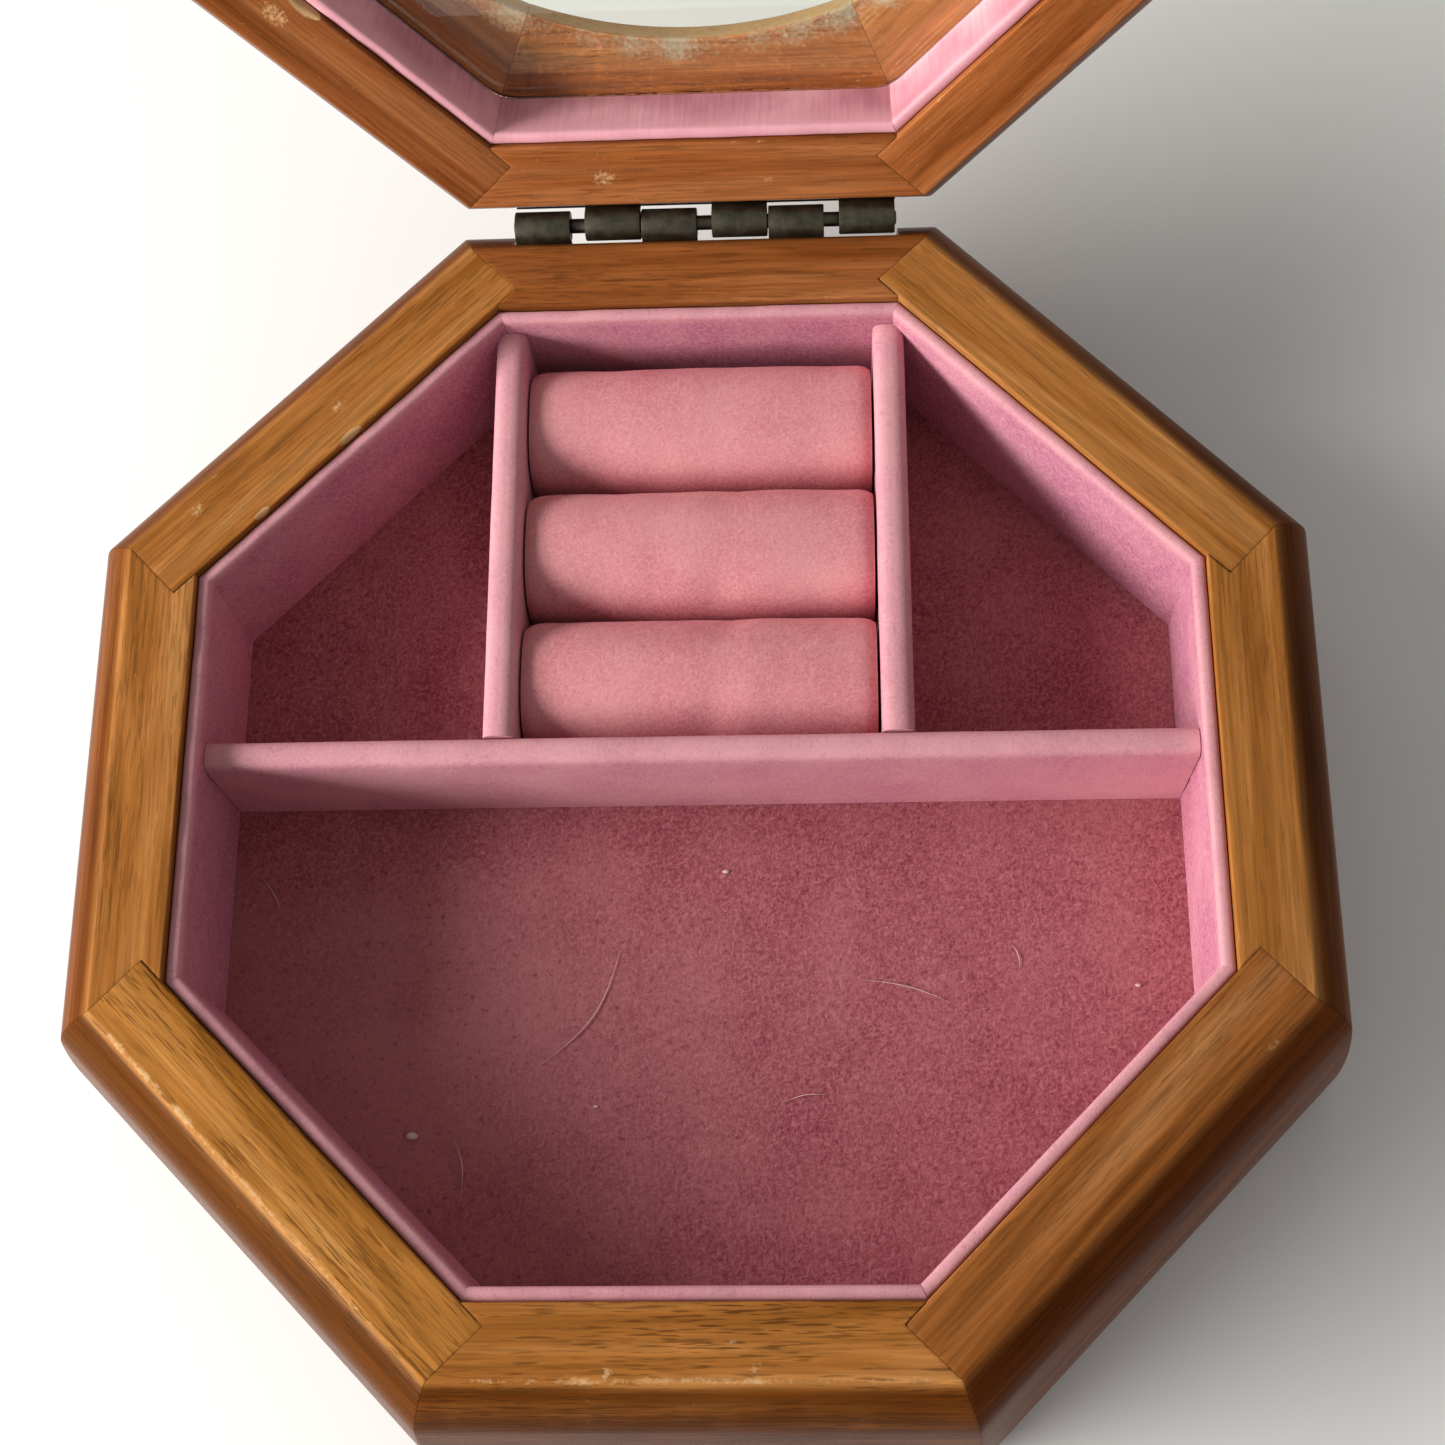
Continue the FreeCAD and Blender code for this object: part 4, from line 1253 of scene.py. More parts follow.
@dataclass
class Lining:
    """Felt-covered card liners, dividers and floor inside the body."""

    liner_in: float
    liner_out: float
    floor_top: float
    liner_top: float
    pad_half: float
    pad_low: float
    seam: float = 0.01
    steps: int = 56
    edge: float = 0.95
    glued_edge: float = 0.15
    calm_end: float = 3.0
    divider_edge: float = 0.42
    # Paleness of the dividers: dust, and painted light
    divider_fade_and_light: float = 0.44
    pad_sink: float = 0.02
    pad_edge: tuple[float, float] = (0.5, 4.0)

    def strip(self, name: str, half: Callable[[np.ndarray], np.ndarray], inside: float, outside: float,
              low: float, high: float, edge: float, seed: int) -> tuple[bpy.types.Object, np.ndarray]:
        """Loft a felt-covered strip with its free edge rounded.

        Args:
            name: Name of the piece.
            half: Half length at a distance from the middle, as a function.
            inside: Face towards the middle.
            outside: Face away from the middle.
            low: Height of the glued edge.
            high: Height of the free edge, which may lie below the glued one.
            edge: How far the free edge is rounded.
            seed: Number that picks its unevenness.

        Returns:
            The strip and its points as (stations, rows, 3).
        """
        share = stations(self.steps)
        (bottom, bottom_ease), (top, top_ease) = sorted(((low, self.glued_edge), (high, edge)))
        corners = [
            Corner(inside, bottom, 16, ease=bottom_ease),
            Corner(inside, top, 3, ease=top_ease),
            Corner(outside, top, 8, ease=top_ease),
            Corner(outside, bottom, 3, ease=bottom_ease),
        ]
        eases = np.array([[corner.ease] * len(share) for corner in corners])
        flat, _ = trace(corners, level(corners, len(share)), eases)
        r, z = flat[..., 0], flat[..., 1]
        x = share[:, None] * half(r)
        free = np.clip((z - low) / (high - low), 0, 1)
        inward = (r < (inside + outside) / 2).astype(float)
        calm = ramp(half(r) - np.abs(x), 0.0, self.calm_end)
        r = r + calm * inward * (0.10 + 0.12 * drift(x + 3 * z, seed, 26.0)) * np.sin(np.pi * free)
        z = z + np.sign(high - low) * free ** 6 * (0.12 * drift(x, seed + 1, 17.0) - 0.1)
        points = np.stack([x, -r, z], -1)
        piece = skin(name, points)
        mark(piece, fade=0.55 * ramp(free, 0.9, 1.0) + 0.12 * ramp(free, 0.0, 0.6), seed=23.0 * seed)
        return piece, points

    def build_liners(self, finish: bpy.types.Material) -> None:
        """Line the eight inner faces.

        Args:
            finish: Material of the felt.
        """
        for side in Side:
            name = f"{side.label}_liner"
            liner, _ = self.strip(
                f"{name}_felt", lambda r: r * MITRE - self.seam, self.liner_in, self.liner_out,
                self.floor_top, self.liner_top, self.edge, Seed.LINER + side.value,
            )
            place(liner, Body.BASE, name, finish, side.turn)

    def build_divider(self, node: str, along_x: bool, finish: bpy.types.Material, seed: int) -> None:
        """Model one divider between compartments.

        Args:
            node: Solid that it stands for.
            along_x: Whether it runs from left to right.
            finish: Material of the felt.
            seed: Number that picks its unevenness.
        """
        low, high = (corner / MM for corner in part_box(node))
        size, middle = high - low, (low + high) / 2
        length, thick = (size.x, size.y) if along_x else (size.y, size.x)
        divider, _ = self.strip(
            f"{node}_felt", lambda r: np.full_like(r, length / 2), -thick / 2, thick / 2,
            low.z, high.z, self.divider_edge * thick, seed,
        )
        # Whole dividers are made paler: partly dust, partly painted light for their lit front faces
        lift_mark(divider, "fade", self.divider_fade_and_light)
        quarter = Matrix.Identity(4) if along_x else Matrix.Rotation(math.radians(90), 4, "Z")
        place(divider, Body.BASE, node, finish, lift(middle.x, middle.y) @ quarter)

    def build_floor(self, finish: bpy.types.Material) -> None:
        """Model the felt floor, a little uneven where it is glued down, and paler at the front left:
        partly fading, partly painted light that lifts the left wall's shadow.

        Args:
            finish: Material of the felt.
        """
        half, corner = self.pad_half, self.pad_half * MITRE
        across = np.linspace(-1, 1, 91)
        slanted = np.linspace(corner, half, 26)[1:]
        rings = []
        for y in np.concatenate([-slanted[::-1], np.linspace(-corner, corner, 38), slanted]):
            width = half - max(0.0, abs(y) - corner)
            x = across * width
            deep = np.full_like(x, y)
            bump = 0.1 * drift(x, Seed.FLOOR, 34.0) * drift(deep, Seed.FLOOR + 1, 41.0)
            bump = bump + 0.05 * drift(x + y, Seed.FLOOR + 2, 12.0)
            inside = ramp(width - np.abs(x), *self.pad_edge) * ramp(half - np.abs(deep), *self.pad_edge)
            top = np.stack([x, deep, self.floor_top + bump * inside - self.pad_sink], -1)
            under = np.array([(width, y, self.pad_low), (-width, y, self.pad_low)])
            rings.append(np.concatenate([top, under]))
        at = np.array(rings)
        pad = skin("floor_pad_felt", at)
        # Paler towards the front left: fading, and painted light over the left wall's shadow
        left = 1 - ramp(at[..., 0], -55.0, 25.0)
        front = 1 - ramp(at[..., 1], -20.0, 0.0)
        mark(pad, fade=0.15 + 0.42 * left * front, seed=5.0)
        place(pad, Body.BASE, "floor_pad", finish)


@dataclass
class RingRolls:
    """Three felt-covered wadding rolls that grip rings between them.

    The powers flank, crown and under make the section squarer than an ellipse.
    """

    nodes: Sequence[str] = ("front_ring_roll", "middle_ring_roll", "rear_ring_roll")
    waist: float = 10.2
    flank: float = 0.74
    crown: float = 0.86
    under: float = 0.75
    tuck: float = 3.45
    draw: float = 0.6
    start_inside: float = 0.25
    end_gap: float = 0.1
    cap_sink: float = 0.02
    cap_rings: tuple[float, float] = (0.35, 0.7)
    swell: float = 0.6
    pressure: float = 4.0
    frames: int = 20
    steps: int = 44
    end_steps: Sequence[float] = (0.0, 0.004, 0.012, 0.03)
    around: int = 52

    def section(self, share: np.ndarray, width: float, height: float, pull: float) -> np.ndarray:
        """Outline of a roll: a crown over upright flanks, tucked in to a flat underside.

        Args:
            share: Shares round the outline.
            width: Full width in millimetres.
            height: Full height in millimetres.
            pull: How far this section is drawn in.

        Returns:
            Points across and up, as (points, 2).
        """
        angle = 2 * np.pi * share - np.pi / 2
        half, rise = width / 2 - pull, height - self.waist - pull
        y = half * np.sign(np.cos(angle)) * np.abs(np.cos(angle)) ** self.flank
        up = np.sin(angle)
        above = self.waist + rise * np.abs(up) ** self.crown
        below = self.waist * (1 - np.abs(up) ** self.under)
        z = np.where(up > 0, above, below)
        lower = np.clip(1 - z / self.waist, 0, 1)
        most = half - self.tuck * lower ** 3
        return np.stack([np.clip(y, -most, most), np.maximum(z, 0.05)], -1)

    def cap(self, ring: np.ndarray, shares: Sequence[float], inward: float) -> np.ndarray:
        """Smaller rings that close the end of a roll.

        Args:
            ring: Last ring of the roll.
            shares: Size of each smaller ring as a share of it.
            inward: How far they are sunk along the roll.

        Returns:
            Points as (rings, points, 3).
        """
        middle = ring.mean(0)
        shift = np.array([inward, 0.0, 0.0])
        return np.array([middle + (ring - middle) * share + shift for share in shares])

    def simulate(self, piece: bpy.types.Object) -> None:
        """Swell the felt over its wadding with a short cloth simulation, kept within the swell.

        Args:
            piece: Roll whose mesh is changed.
        """
        rest = np.array([vertex.co for vertex in piece.data.vertices])
        cloth = piece.modifiers.new("felt", "CLOTH")
        cloth.settings.quality = 6
        cloth.settings.mass = 0.3
        cloth.settings.use_pressure = True
        cloth.settings.uniform_pressure_force = self.pressure
        cloth.settings.effector_weights.gravity = 0.0
        cloth.point_cache.frame_start, cloth.point_cache.frame_end = 1, self.frames
        scene = bpy.context.scene
        for frame in range(1, self.frames + 1):
            scene.frame_set(frame)
        graph = bpy.context.evaluated_depsgraph_get()
        swollen = piece.evaluated_get(graph).to_mesh()
        moved = np.array([vertex.co for vertex in swollen.vertices]) - rest
        piece.evaluated_get(graph).to_mesh_clear()
        piece.modifiers.clear()
        scene.frame_set(1)
        far = np.maximum(np.linalg.norm(moved, axis=1), 1e-9)
        moved *= (np.minimum(far, self.swell * MM) / far)[:, None]
        piece.data.vertices.foreach_set("co", (rest + moved).ravel())
        piece.data.update()

    def build(self, finish: bpy.types.Material) -> None:
        """Model, swell and place the rolls.

        Args:
            finish: Material of the felt.
        """
        share = np.arange(self.around) / self.around
        for number, node in enumerate(self.nodes):
            low, high = (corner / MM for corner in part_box(node))
            size, middle = high - low, (low + high) / 2
            width, height = size.y - 2 * self.start_inside, size.z - self.start_inside
            half = size.x / 2 - self.end_gap
            rings = []
            for at in stations(self.steps, self.end_steps):
                end = 1 - abs(at)
                pull = self.draw * (1 - ramp(np.array(end), 0.0, 0.05)) + 0.25 * (1 - end) ** 6
                flat = self.section(share, width, height, float(pull))
                x = np.full(self.around, at * half)
                uneven = 0.12 * drift(x + 9 * share, Seed.ROLL + number, 21.0) * ramp(flat[:, 1], 1.0, 6.0)
                rings.append(np.stack([x, flat[:, 0] * (1 + uneven / 12), flat[:, 1] + uneven], -1))
            first = self.cap(rings[0], self.cap_rings, self.cap_sink)
            last = self.cap(rings[-1], self.cap_rings[::-1], -self.cap_sink)
            roll = skin(f"{node}_felt", np.concatenate([first, np.array(rings), last]))
            self.simulate(roll)
            heights = np.array([vertex.co.z for vertex in roll.data.vertices]) / MM
            mark(roll, fade=0.3 * ramp(heights, 12.0, 20.0), seed=31.0 * number + 3)
            place(roll, Body.BASE, node, finish, lift(middle.x, middle.y, low.z))


@dataclass
class LidLining:
    """Satin-covered strips inside the lid and the pane that they hold."""

    floor: float
    recess: float
    strip_in: float = 77.9
    strip_out: float = 79.9
    strip_edge: float = 0.85
    drop: float = 0.8
    pane_half: float = 77.7
    pane_thick: float = 2.8
    pane_corner: float = 7.0
    arris: float = 0.5
    # Strips that grow paler towards their free edge: fading, and painted light
    faded_and_lit_sides: Sequence[Side] = (Side.REAR, Side.REAR_LEFT)
    faded_and_lit_most: float = 0.85

    def build(self, cloth: bpy.types.Material, glass: bpy.types.Material, lining: Lining,
              opened: Matrix) -> None:
        """Model and place the strips and the pane.

        Args:
            cloth: Material of the strips.
            glass: Material of the pane.
            lining: Maker of felt-covered strips.
            opened: Swing of the closed lid to where it stands.
        """
        for side in Side:
            name = f"lid_{side.label}_strip"
            strip, points = lining.strip(
                f"{name}_satin", lambda r: r * MITRE - lining.seam, self.strip_in, self.strip_out,
                self.recess, self.drop, self.strip_edge, Seed.LID_STRIP + side.value,
            )
            # The rear and rear-left strips grow paler towards their free edge: partly fading, partly painted
            # light
            free = (self.recess - points[..., 2]) / (self.recess - self.drop)
            most = self.faded_and_lit_most if side in self.faded_and_lit_sides else 0.0
            lift_mark(strip, "fade", most * ramp(free, 0.35, 1.0))
            place(strip, Body.LID, name, cloth, opened @ lift(z=self.floor) @ side.turn)
        front = self.recess - self.pane_thick
        rings = [self.outline(self.pane_half - inset, z) for inset, z in (
            (self.arris, front), (0.0, front + self.arris),
            (0.0, self.recess - self.arris), (self.arris, self.recess),
        )]
        pane = skin("lid_pane_glass", np.array(rings))
        place(pane, Body.LID, "lid_pane", glass, opened @ lift(z=self.floor))

    def outline(self, half: float, z: float) -> np.ndarray:
        """Octagon with rounded corners.

        Args:
            half: Half width across flats.
            z: Height.

        Returns:
            Points round the outline.
        """
        reach = (half - self.pane_corner) / math.cos(TURN / 2)
        points = []
        for number in range(len(Side)):
            corner = number * TURN + TURN / 2
            for angle in corner + np.linspace(-TURN / 2, TURN / 2, 7):
                points.append((
                    reach * math.cos(corner) + self.pane_corner * math.cos(angle),
                    reach * math.sin(corner) + self.pane_corner * math.sin(angle), z,
                ))
        return np.array(points)


# Hinge


@dataclass
class Hinge:
    """Butt hinge of rolled strip: two leaves, a pin and countersunk slotted screws.

    The curl is in degrees and the slots' tilts are in radians. Roundings are steps of how far in and
    how far along.
    """

    middle: float
    axis_y: float
    axis_z: float
    length: float = 63.4
    pairs: int = 3
    play: float = 2.5
    gap: float = 0.2
    barrel: float = 2.5
    curl: float = 306.0
    curl_settle: float = 100.0
    face: float = 92.0
    thick: float = 1.2
    ease: float = 0.18
    knuckle_round: Sequence[tuple[float, float]] = ((0.16, 0.0), (0.05, 0.06), (0.0, 0.2))
    leaf_height: float = 10.0
    cut_back: float = 2.9
    recess_gap: float = 0.4
    pin: float = 1.2
    pin_stand: float = 0.3
    pin_round: Sequence[tuple[float, float]] = ((0.45, 0.0), (0.15, 0.08), (0.0, 0.3))
    screw: float = 1.0
    screw_head: float = 1.9
    head_depth: float = 0.9
    screw_length: float = 9.0
    screw_tip: float = 2.0
    screw_end: float = 9.7
    screw_count: int = 3
    screw_play: float = 0.06
    slot_width: float = 0.5
    slot_depth: float = 0.45
    slot_reach: float = 3.0
    slot_tilts: Sequence[float] = (0.5, -0.9, 0.2)

    @property
    def start(self) -> float:
        """Left end of the leaves."""
        return self.middle - self.length / 2

    @property
    def knuckle(self) -> float:
        """Length of one knuckle."""
        return (self.length / self.pairs - self.play - self.gap) / 2

    @property
    def screw_line(self) -> float:
        """Distance of the screws from the pin's axis."""
        return (self.cut_back + self.leaf_height) / 2

    @property
    def back(self) -> float:
        """Rear face of the leaves."""
        return self.face + self.thick

    def roll_path(self) -> tuple[np.ndarray, np.ndarray]:
        """Middle line of a knuckle's strip, and the directions across it.

        Returns:
            Points from the plate round the pin, across and up from the axis, and unit normals.
        """
        strip = self.barrel - self.thick / 2
        near = self.axis_y - self.face - self.thick / 2
        rise = np.linspace(-self.cut_back - 0.3, 0, 6)[:-1]
        turn = np.radians(np.linspace(0, self.curl, 40))
        radius = strip + (near - strip) * (1 - ramp(turn, 0.0, math.radians(self.curl_settle)))
        flat = np.stack([np.full_like(rise, -near), rise], -1)
        curl = np.stack([-radius * np.cos(turn), radius * np.sin(turn)], -1)
        path = np.concatenate([flat, curl])
        ahead = headings(path)
        return path, np.stack([-ahead[:, 1], ahead[:, 0]], -1)

    def knuckle_mesh(self, start: float, leaf: Leaf) -> bpy.types.Object:
        """Roll one knuckle from the leaf's strip.

        Args:
            start: Its left end.
            leaf: Leaf that it belongs to.

        Returns:
            The knuckle.
        """
        path, across = self.roll_path()
        far_end = [(inset, self.knuckle - x) for inset, x in reversed(self.knuckle_round)]
        rings = []
        for inset, x in (*self.knuckle_round, *far_end):
            half = self.thick / 2 - inset
            outline = np.concatenate([path + across * half, (path - across * half)[::-1]])
            y = self.axis_y + outline[:, 0]
            z = self.axis_z - leaf.value * outline[:, 1]
            rings.append(np.stack([np.full_like(y, start + x), y, z], -1))
        return skin("knuckle", np.array(rings))

    def plate(self, name: str, leaf: Leaf, first: float) -> bpy.types.Object:
        """Model one leaf with its knuckles and countersunk holes.

        Args:
            name: Name of the piece.
            leaf: Which leaf.
            first: Left end of its first knuckle, from the leaf's end.

        Returns:
            The leaf.
        """
        low, high = sorted(self.axis_z + leaf.value * away for away in (self.cut_back, self.leaf_height))
        rings = []
        for inset, y in ((self.ease, self.face), (0.0, self.face + self.ease),
                         (0.0, self.back - self.ease), (self.ease, self.back)):
            left, right = self.start + inset, self.start + self.length - inset
            rings.append([(left, y, low + inset), (right, y, low + inset),
                          (right, y, high - inset), (left, y, high - inset)])
        plate = skin(name, np.array(rings))
        for pair in range(self.pairs):
            start = self.start + pair * self.length / self.pairs + first
            carve(plate, self.knuckle_mesh(start, leaf), "UNION")
        for number in range(self.screw_count):
            carve(plate, self.screw_mesh("hole", number, leaf, self.screw_play))
        return plate

    def screw_place(self, number: int, leaf: Leaf) -> tuple[float, float]:
        """Find where a screw sits.

        Args:
            number: Which screw of the leaf.
            leaf: Leaf that it holds.

        Returns:
            Its place along the hinge, and its height.
        """
        spacing = (self.length - 2 * self.screw_end) / (self.screw_count - 1)
        along = self.middle + (number - (self.screw_count - 1) / 2) * spacing
        return along, self.axis_z + leaf.value * self.screw_line

    def screw_mesh(self, name: str, number: int, leaf: Leaf, grow: float) -> bpy.types.Object:
        """Turn one screw, or the hole for it.

        Args:
            name: Name of the piece.
            number: Which screw of the leaf.
            leaf: Leaf that it holds.
            grow: How much larger all round.

        Returns:
            The screw, its head towards the rear.
        """
        profile = [
            (self.screw / 4, self.screw_length), (self.screw, self.screw_length - self.screw_tip),
            (self.screw, self.head_depth), (self.screw_head, 0.08), (self.screw_head - 0.1, 0.0),
        ]
        if grow:
            profile.append((self.screw_head, -1.0))
        rings = turned([(self.back - depth, radius + grow) for radius, depth in profile])
        x, z = self.screw_place(number, leaf)
        return skin(name, rings[..., [1, 0, 2]] + np.array([x, 0.0, z]))

    def screws(self, name: str, leaf: Leaf) -> bpy.types.Object:
        """Model the slotted screws of one leaf.

        Args:
            name: Name of the piece.
            leaf: Leaf that they hold.

        Returns:
            The screws as one piece.
        """
        square = np.array([(-1, -1), (1, -1), (1, 1), (-1, 1)])
        group = None
        for number, tilt in zip(range(self.screw_count), self.slot_tilts):
            single = self.screw_mesh(name, number, leaf, 0.0)
            x, z = self.screw_place(number, leaf)
            turn = np.array([(math.cos(tilt), math.sin(tilt)), (-math.sin(tilt), math.cos(tilt))])
            flat = square * (self.slot_reach, self.slot_width / 2) @ turn
            block = np.array([
                [(x + along, y, z + up) for along, up in flat]
                for y in (self.back - self.slot_depth, self.back + 1)
            ])
            carve(single, skin("slot", block))
            if group is None:
                group = single
            else:
                both = bmesh.new()
                both.from_mesh(group.data)
                both.from_mesh(single.data)
                both.to_mesh(group.data)
                both.free()
                bpy.data.objects.remove(single)
        group.name = name
        return group

    def build(self, finish: bpy.types.Material, opened: Matrix) -> None:
        """Model and place the hinge.

        Args:
            finish: Material of the metal.
            opened: Swing of the closed lid to where it stands.
        """
        seats = ((Leaf.BODY, 0.0, Matrix.Identity(4)), (Leaf.LID, self.knuckle + self.play, opened))
        for leaf, first, matrix in seats:
            node = f"hinge_{leaf.label}_leaf"
            plate = self.plate(f"{node}_metal", leaf, first)
            place(plate, leaf.rides, node, finish, matrix)
        for leaf, _, matrix in seats:
            node = f"hinge_{leaf.label}_screws"
            screws = self.screws(f"{node}_metal", leaf)
            place(screws, leaf.rides, node, finish, matrix)
        left = self.start - self.pin_stand
        right = self.start + self.length - self.gap + self.pin_stand
        near_end = [(left + x, self.pin - inset) for inset, x in self.pin_round]
        far_end = [(right - x, self.pin - inset) for inset, x in reversed(self.pin_round)]
        rings = turned(near_end + far_end) + np.array([0.0, self.axis_y, self.axis_z])
        place(skin("hinge_pin_metal", rings), Body.BASE, "hinge_pin", finish)


# Lint, stage and light


@dataclass
class Lint:
    """Loose hairs and crumbs on the floor felt of the front compartment.

    A hair has its two ends and how far it bows to the side, and a crumb its place and size.
    """

    floor_top: float
    thick: float = 0.085
    lie: float = 0.16
    arch: float = 0.12
    points: int = 15
    around: int = 6
    flattened: tuple[float, float, float] = (1.3, 0.8, 0.5)
    hairs: Sequence[tuple[tuple[float, float], tuple[float, float], float]] = (
        ((25.2, -27.9), (39.1, -31.7), 0.8),
        ((-26.3, -41.1), (-13.8, -22.5), -2.6),
        ((-39.5, -52.9), (-38.2, -61.4), 0.7),
        ((49.3, -22.4), (50.4, -26.2), 0.4),
        ((12.7, -47.3), (19.1, -46.2), 0.5),
        ((-73.0, -9.9), (-69.8, -15.4), 0.4),
    )
    crumbs: Sequence[tuple[float, float, float]] = (
        (3.4, -9.6, 0.45), (-17.2, -47.8, 0.35), (69.0, -29.2, 0.4), (-46.4, -52.3, 0.8),
    )

    def hair(self, number: int, start: tuple[float, float], end: tuple[float, float],
             bow: float) -> bpy.types.Object:
        """Model one hair, tapered to its ends.

        Args:
            number: Which hair, for its unevenness.
            start: One end on the floor.
            end: Other end.
            bow: How far its middle lies to the side.

        Returns:
            The hair.
        """
        share = np.linspace(0, 1, self.points)
        arched = np.sin(np.pi * share)
        first, last = np.array(start), np.array(end)
        side = np.array([first[1] - last[1], last[0] - first[0]]) / np.linalg.norm(last - first)
        line = first + np.outer(share, last - first) + np.outer(arched * bow, side)
        height = self.floor_top + self.lie + self.arch * arched + 0.05 * drift(share * 9, number, 4.0)
        ahead = headings(line)
        across = np.stack([-ahead[:, 1], ahead[:, 0], np.zeros(self.points)], -1)
        middle = np.column_stack([line, height])
        angle = np.linspace(0, 2 * np.pi, self.around, endpoint=False)
        taper = self.thick * np.clip(arched, 0.3, 1)
        rings = middle[:, None] + taper[:, None, None] * (
            np.cos(angle)[None, :, None] * across[:, None]
            + np.sin(angle)[None, :, None] * np.array([0, 0, 1.0]))
        return skin("hair", rings)

    def build(self, finish: bpy.types.Material) -> None:
        """Lay the hairs and crumbs on the floor.

        Args:
            finish: Material of the lint.
        """
        whole = bmesh.new()
        for number, (start, end, bow) in enumerate(self.hairs):
            hair = self.hair(number, start, end, bow)
            whole.from_mesh(hair.data)
            bpy.data.objects.remove(hair)
        for number, (x, y, size) in enumerate(self.crumbs):
            draw = np.random.default_rng(Seed.CRUMB + number)
            matrix = lift(x, y, self.floor_top + 0.3 * size) @ Matrix.Rotation(draw.uniform(0, 6), 4, "Z")
            made = bmesh.ops.create_icosphere(whole, subdivisions=2, radius=size * MM, matrix=matrix)
            for vertex in made["verts"]:
                away = (vertex.co - matrix.translation) * Vector(self.flattened)
                vertex.co = matrix.translation + away * draw.uniform(0.8, 1.15)
        mesh = bpy.data.meshes.new("floor_lint")
        whole.to_mesh(mesh)
        whole.free()
        mesh.shade_smooth()
        mesh.materials.append(finish)
        lint = bpy.data.objects.new("floor_lint", mesh)
        bpy.context.scene.collection.objects.link(lint)
        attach(lint, Body.BASE.value)
        LOG.info("%s: %d faces on base", lint.name, len(mesh.polygons))


@dataclass
class Studio:
    """Pale floor, window light from the left, soft fill and the camera over the front edge."""

    eye: tuple[float, float, float] = (20.87, -106.90, 367.92)
    target: tuple[float, float, float] = (4.211, 6.435, 44.0)
    roll: float = -8.84
    lens: float = 55.63
    sensor: float = 36.0
    nearest: float = 10.0
    key_from: tuple[float, float, float] = (-0.87, -0.21, 0.44)
    key_distance: float = 1100.0
    key_size: tuple[float, float] = (1300.0, 340.0)
    key_lean: float = -18.0
    key_power: float = 25.0
    fill: float = 0.29
    paper: str = "#f4f2ee"
    paper_half: float = 4000.0
    paper_drop: float = 0.1

    def build(self) -> None:
        """Set up the floor, the light and the camera."""
        scene = bpy.context.scene
        scene.view_settings.view_transform = "Standard"
        mesh = bpy.data.meshes.new("floor")
        half = self.paper_half * MM
        mesh.from_pydata([(-half, -half, 0), (half, -half, 0), (half, half, 0), (-half, half, 0)],
                         [], [(0, 1, 2, 3)])
        floor = bpy.data.objects.new("floor", mesh)
        scene.collection.objects.link(floor)
        floor.location.z = -self.paper_drop * MM
        # Matt paper, pressed smooth: a dull near white that keeps the box's shadow
        paper = bpy.data.materials.new("matt_paper")
        paper.use_nodes = True
        surface = paper.node_tree.nodes["Principled BSDF"]
        surface.inputs["Base Color"].default_value = linear(self.paper)
        surface.inputs["Roughness"].default_value = 0.9
        mesh.materials.append(paper)
        self.light(scene)
        eye, target = Vector(self.eye) * MM, Vector(self.target) * MM
        lens = bpy.data.cameras.new("camera")
        lens.lens, lens.sensor_width, lens.clip_start = self.lens, self.sensor, self.nearest * MM
        camera = bpy.data.objects.new("camera", lens)
        camera.location = eye
        camera.rotation_mode = "QUATERNION"
        turn = Quaternion((0, 0, 1), math.radians(self.roll))
        camera.rotation_quaternion = (target - eye).to_track_quat("-Z", "Y") @ turn
        scene.collection.objects.link(camera)
        scene.camera = camera

    def light(self, scene: bpy.types.Scene) -> None:
        """Add the window light and the white surroundings.

        Args:
            scene: Scene that is lit.
        """
        lamp = bpy.data.lights.new("window", "AREA")
        lamp.shape, lamp.energy = "RECTANGLE", self.key_power
        lamp.size, lamp.size_y = (size * MM for size in self.key_size)
        key = bpy.data.objects.new("window", lamp)
        away = Vector(self.key_from).normalized()
        key.location = away * self.key_distance * MM
        key.rotation_mode = "QUATERNION"
        lean = Quaternion((0, 0, 1), math.radians(self.key_lean))
        key.rotation_quaternion = (-away).to_track_quat("-Z", "Y") @ lean
        scene.collection.objects.link(key)
        world = bpy.data.worlds.new("white_room")
        scene.world = world
        world.use_nodes = True
        tree = world.node_tree
        tree.nodes.clear()
        path = add(tree, "LightPath")
        seen = add(tree, "Math", {0: path.outputs["Is Camera Ray"], 1: path.outputs["Is Glossy Ray"]},
                   operation="ADD")
        seen = add(tree, "Math", {0: seen, 1: path.outputs["Is Transmission Ray"]},
                   operation="ADD", use_clamp=True)
        strength = add(tree, "MapRange", {"Value": seen, "To Min": self.fill, "To Max": 1.0})
        sky = add(tree, "Background", {"Color": "#ffffff", "Strength": strength})
        add(tree, "OutputWorld", {"Surface": sky})


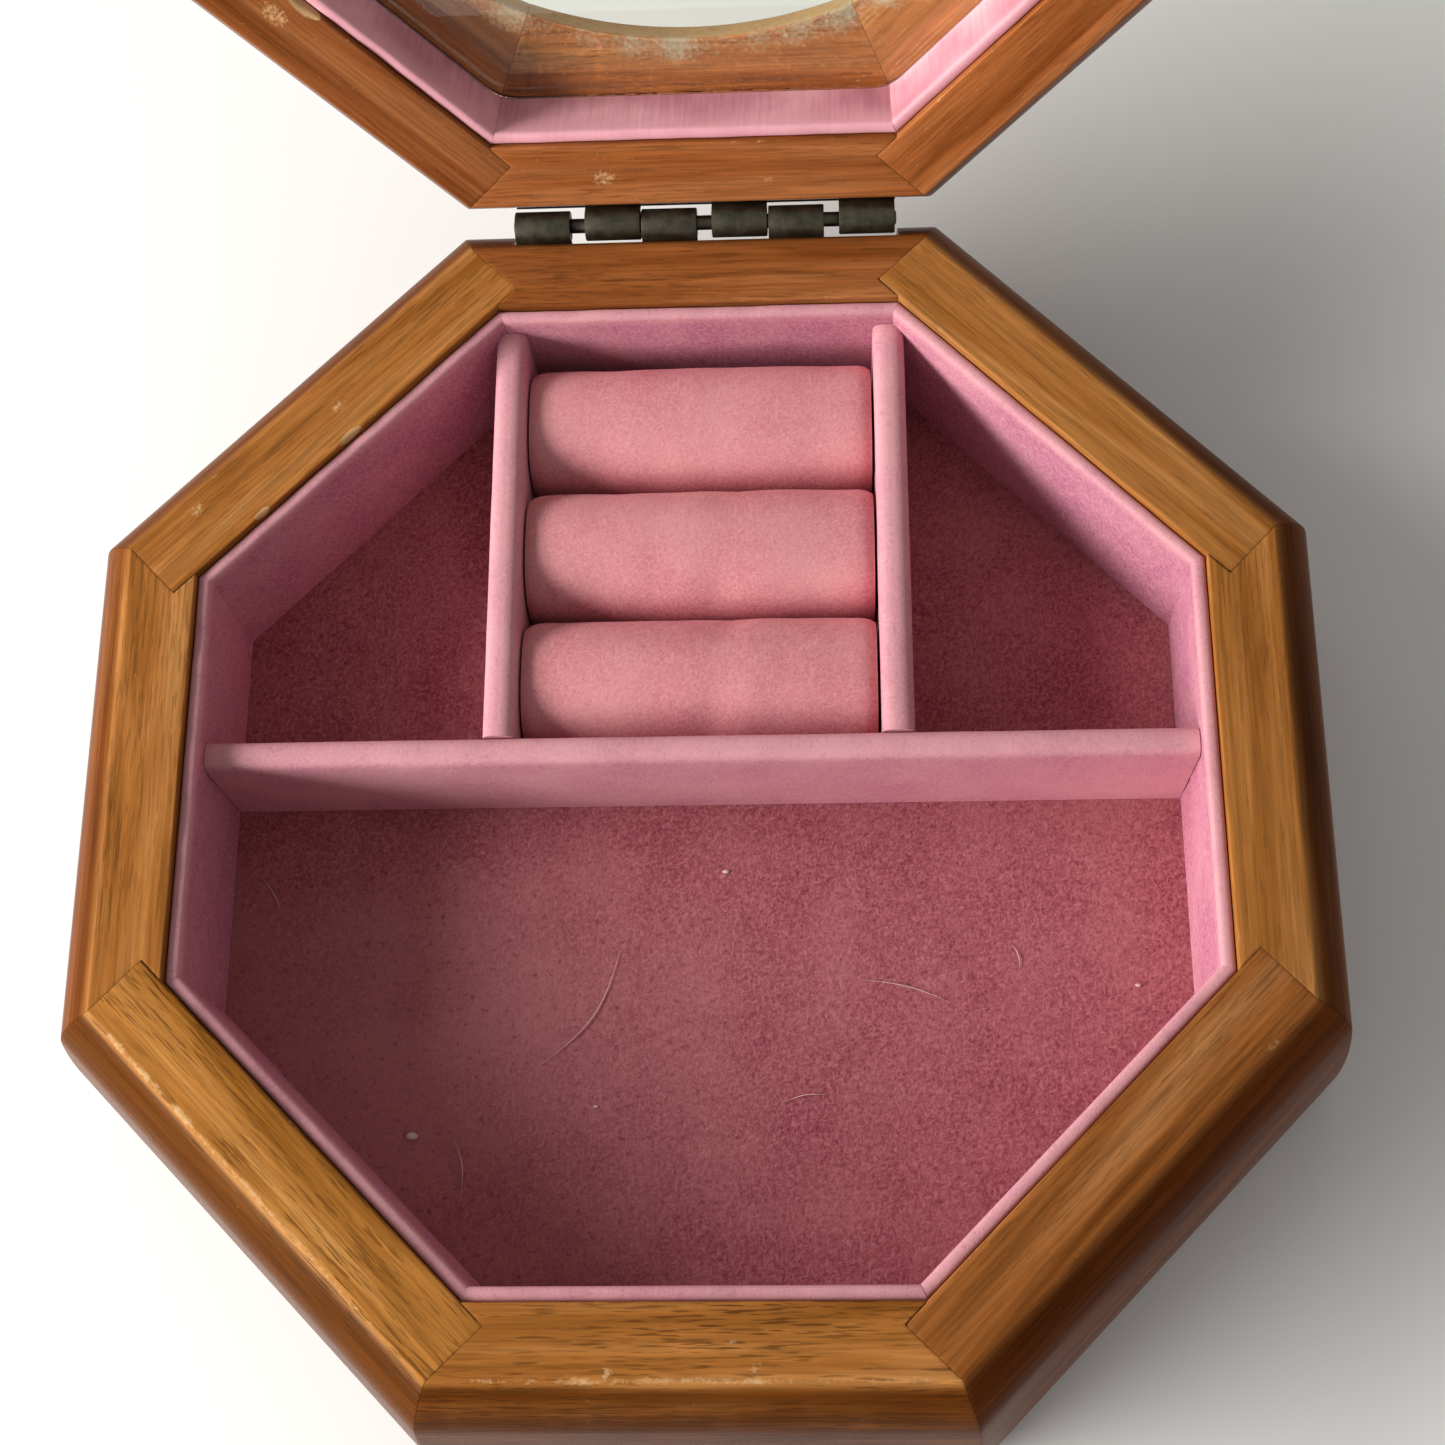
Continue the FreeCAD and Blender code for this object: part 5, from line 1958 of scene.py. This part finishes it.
def main() -> None:
    """Build the box piece by piece round the frame."""
    logging.basicConfig(level=logging.INFO, format="%(message)s")
    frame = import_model()
    joint = frame["joints"][0]
    pivot = Vector(joint["pos_m"])
    swing = Matrix.Rotation(-math.radians(joint["range_deg"][1]), 4, "X")
    opened = Matrix.Translation(pivot) @ swing @ Matrix.Translation(-pivot)
    rail_low, rail_high = (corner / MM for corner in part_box("front_rail"))
    liner_low, liner_high = (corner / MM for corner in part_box("front_liner"))
    pad_low, pad_high = (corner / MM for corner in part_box("floor_pad"))
    inner, rim = -rail_high.y, -rail_high.y + RIM_WIDTH

    Studio().build()
    wood = LacqueredMahogany().material()
    metal = BronzedSteel().material()
    lining_felt, roll_felt, floor_felt = (felt.material() for felt in (LINING, ROLL, FLOOR))

    hinge = Hinge(middle=pivot.x / MM, axis_y=pivot.y / MM, axis_z=pivot.z / MM)
    BodyRails(
        inner, rim, height=rail_high.z, belly=-rail_low.y,
        tones={Side.FRONT: 1.06, Side.REAR: 0.84, Side.FRONT_RIGHT: 0.83, Side.FRONT_LEFT: 1.14},
        outer_tones={Side.FRONT: 0.78, Side.FRONT_LEFT: 0.66, Side.FRONT_RIGHT: 0.98},
        # Dust and a painted sheen in a band below the front rim
        dust_and_sheen={Side.FRONT: 0.45},
        hues={Side.REAR: 0.49, Side.FRONT_RIGHT: 0.494, Side.FRONT_LEFT: 0.505},
        porous={Side.FRONT: 0.75, Side.FRONT_LEFT: 0.7, Side.REAR: 0.5},
        knocks={
            (Side.REAR_LEFT, BodyEdge.RIM_INSIDE): [Knock(-0.4, 5.0, 0.8), Knock(18.7, 4.0, 0.7)],
            (Side.FRONT, BodyEdge.RIM_OUTSIDE): [
                Knock(0.0, 90.0, 0.22), Knock(-16.0, 4.0, 0.16), Knock(9.0, 3.0, 0.14),
            ],
            (Side.FRONT_LEFT, BodyEdge.RIM_OUTSIDE): [Knock(0.0, 100.0, 0.2), Knock(-24.0, 9.0, 0.16)],
        },
        scuffs={
            Side.REAR_LEFT: [Scuff(-2.4, 85.6, 1.8), Scuff(25.7, 88.2, 1.8)],
            Side.FRONT: [Scuff(5.7, 85.8, 1.0), Scuff(9.1, 89.1, 1.2), Scuff(-12.0, 90.0, 1.2)],
        },
        cracks={
            (Side.FRONT, End.LEFT): 0.6, (Side.RIGHT, End.LEFT): 0.6,
            (Side.RIGHT, End.RIGHT): 0.7, (Side.REAR_LEFT, End.RIGHT): 0.45,
        },
    ).build(wood, hinge)
    lid_rails = LidRails(
        inner, rim, hue=0.488, specks=0.35,
        tones={Side.REAR_LEFT: 0.7, Side.REAR: 0.9, Side.REAR_RIGHT: 1.08},
        knocks={(Side.REAR_LEFT, LidEdge.RIM_INSIDE): [Knock(3.6, 7.0, 1.6)]},
        scuffs={
            Side.REAR: [Scuff(-12.0, 87.0, 1.5), Scuff(15.0, 86.0, 2.5)],
            Side.REAR_LEFT: [Scuff(6.0, 84.5, 3.0)],
        },
    )
    lid_rails.build(wood, hinge, opened)

    lining = Lining(
        liner_in=-liner_high.y, liner_out=-liner_low.y, floor_top=pad_high.z, liner_top=liner_high.z,
        pad_half=pad_high.x, pad_low=pad_low.z,
    )
    lining.build_liners(lining_felt)
    dividers = (("long_divider", True), ("left_divider", False), ("right_divider", False))
    for number, (node, along_x) in enumerate(dividers):
        lining.build_divider(node, along_x, lining_felt, Seed.DIVIDER + number)
    lining.build_floor(floor_felt)
    RingRolls().build(roll_felt)
    lid_lining = LidLining(lid_rails.floor, lid_rails.recess)
    lid_lining.build(RibbedSatin().material(), FloatGlass().material(), lining, opened)
    hinge.build(metal, opened)
    Lint(floor_top=pad_high.z).build(LintFibre().material())

    panel = frame["nodes"]["bottom_panel"]
    panel.data.materials.clear()
    panel.data.materials.append(Hardboard().material())


if __name__ == "__main__":
    main()
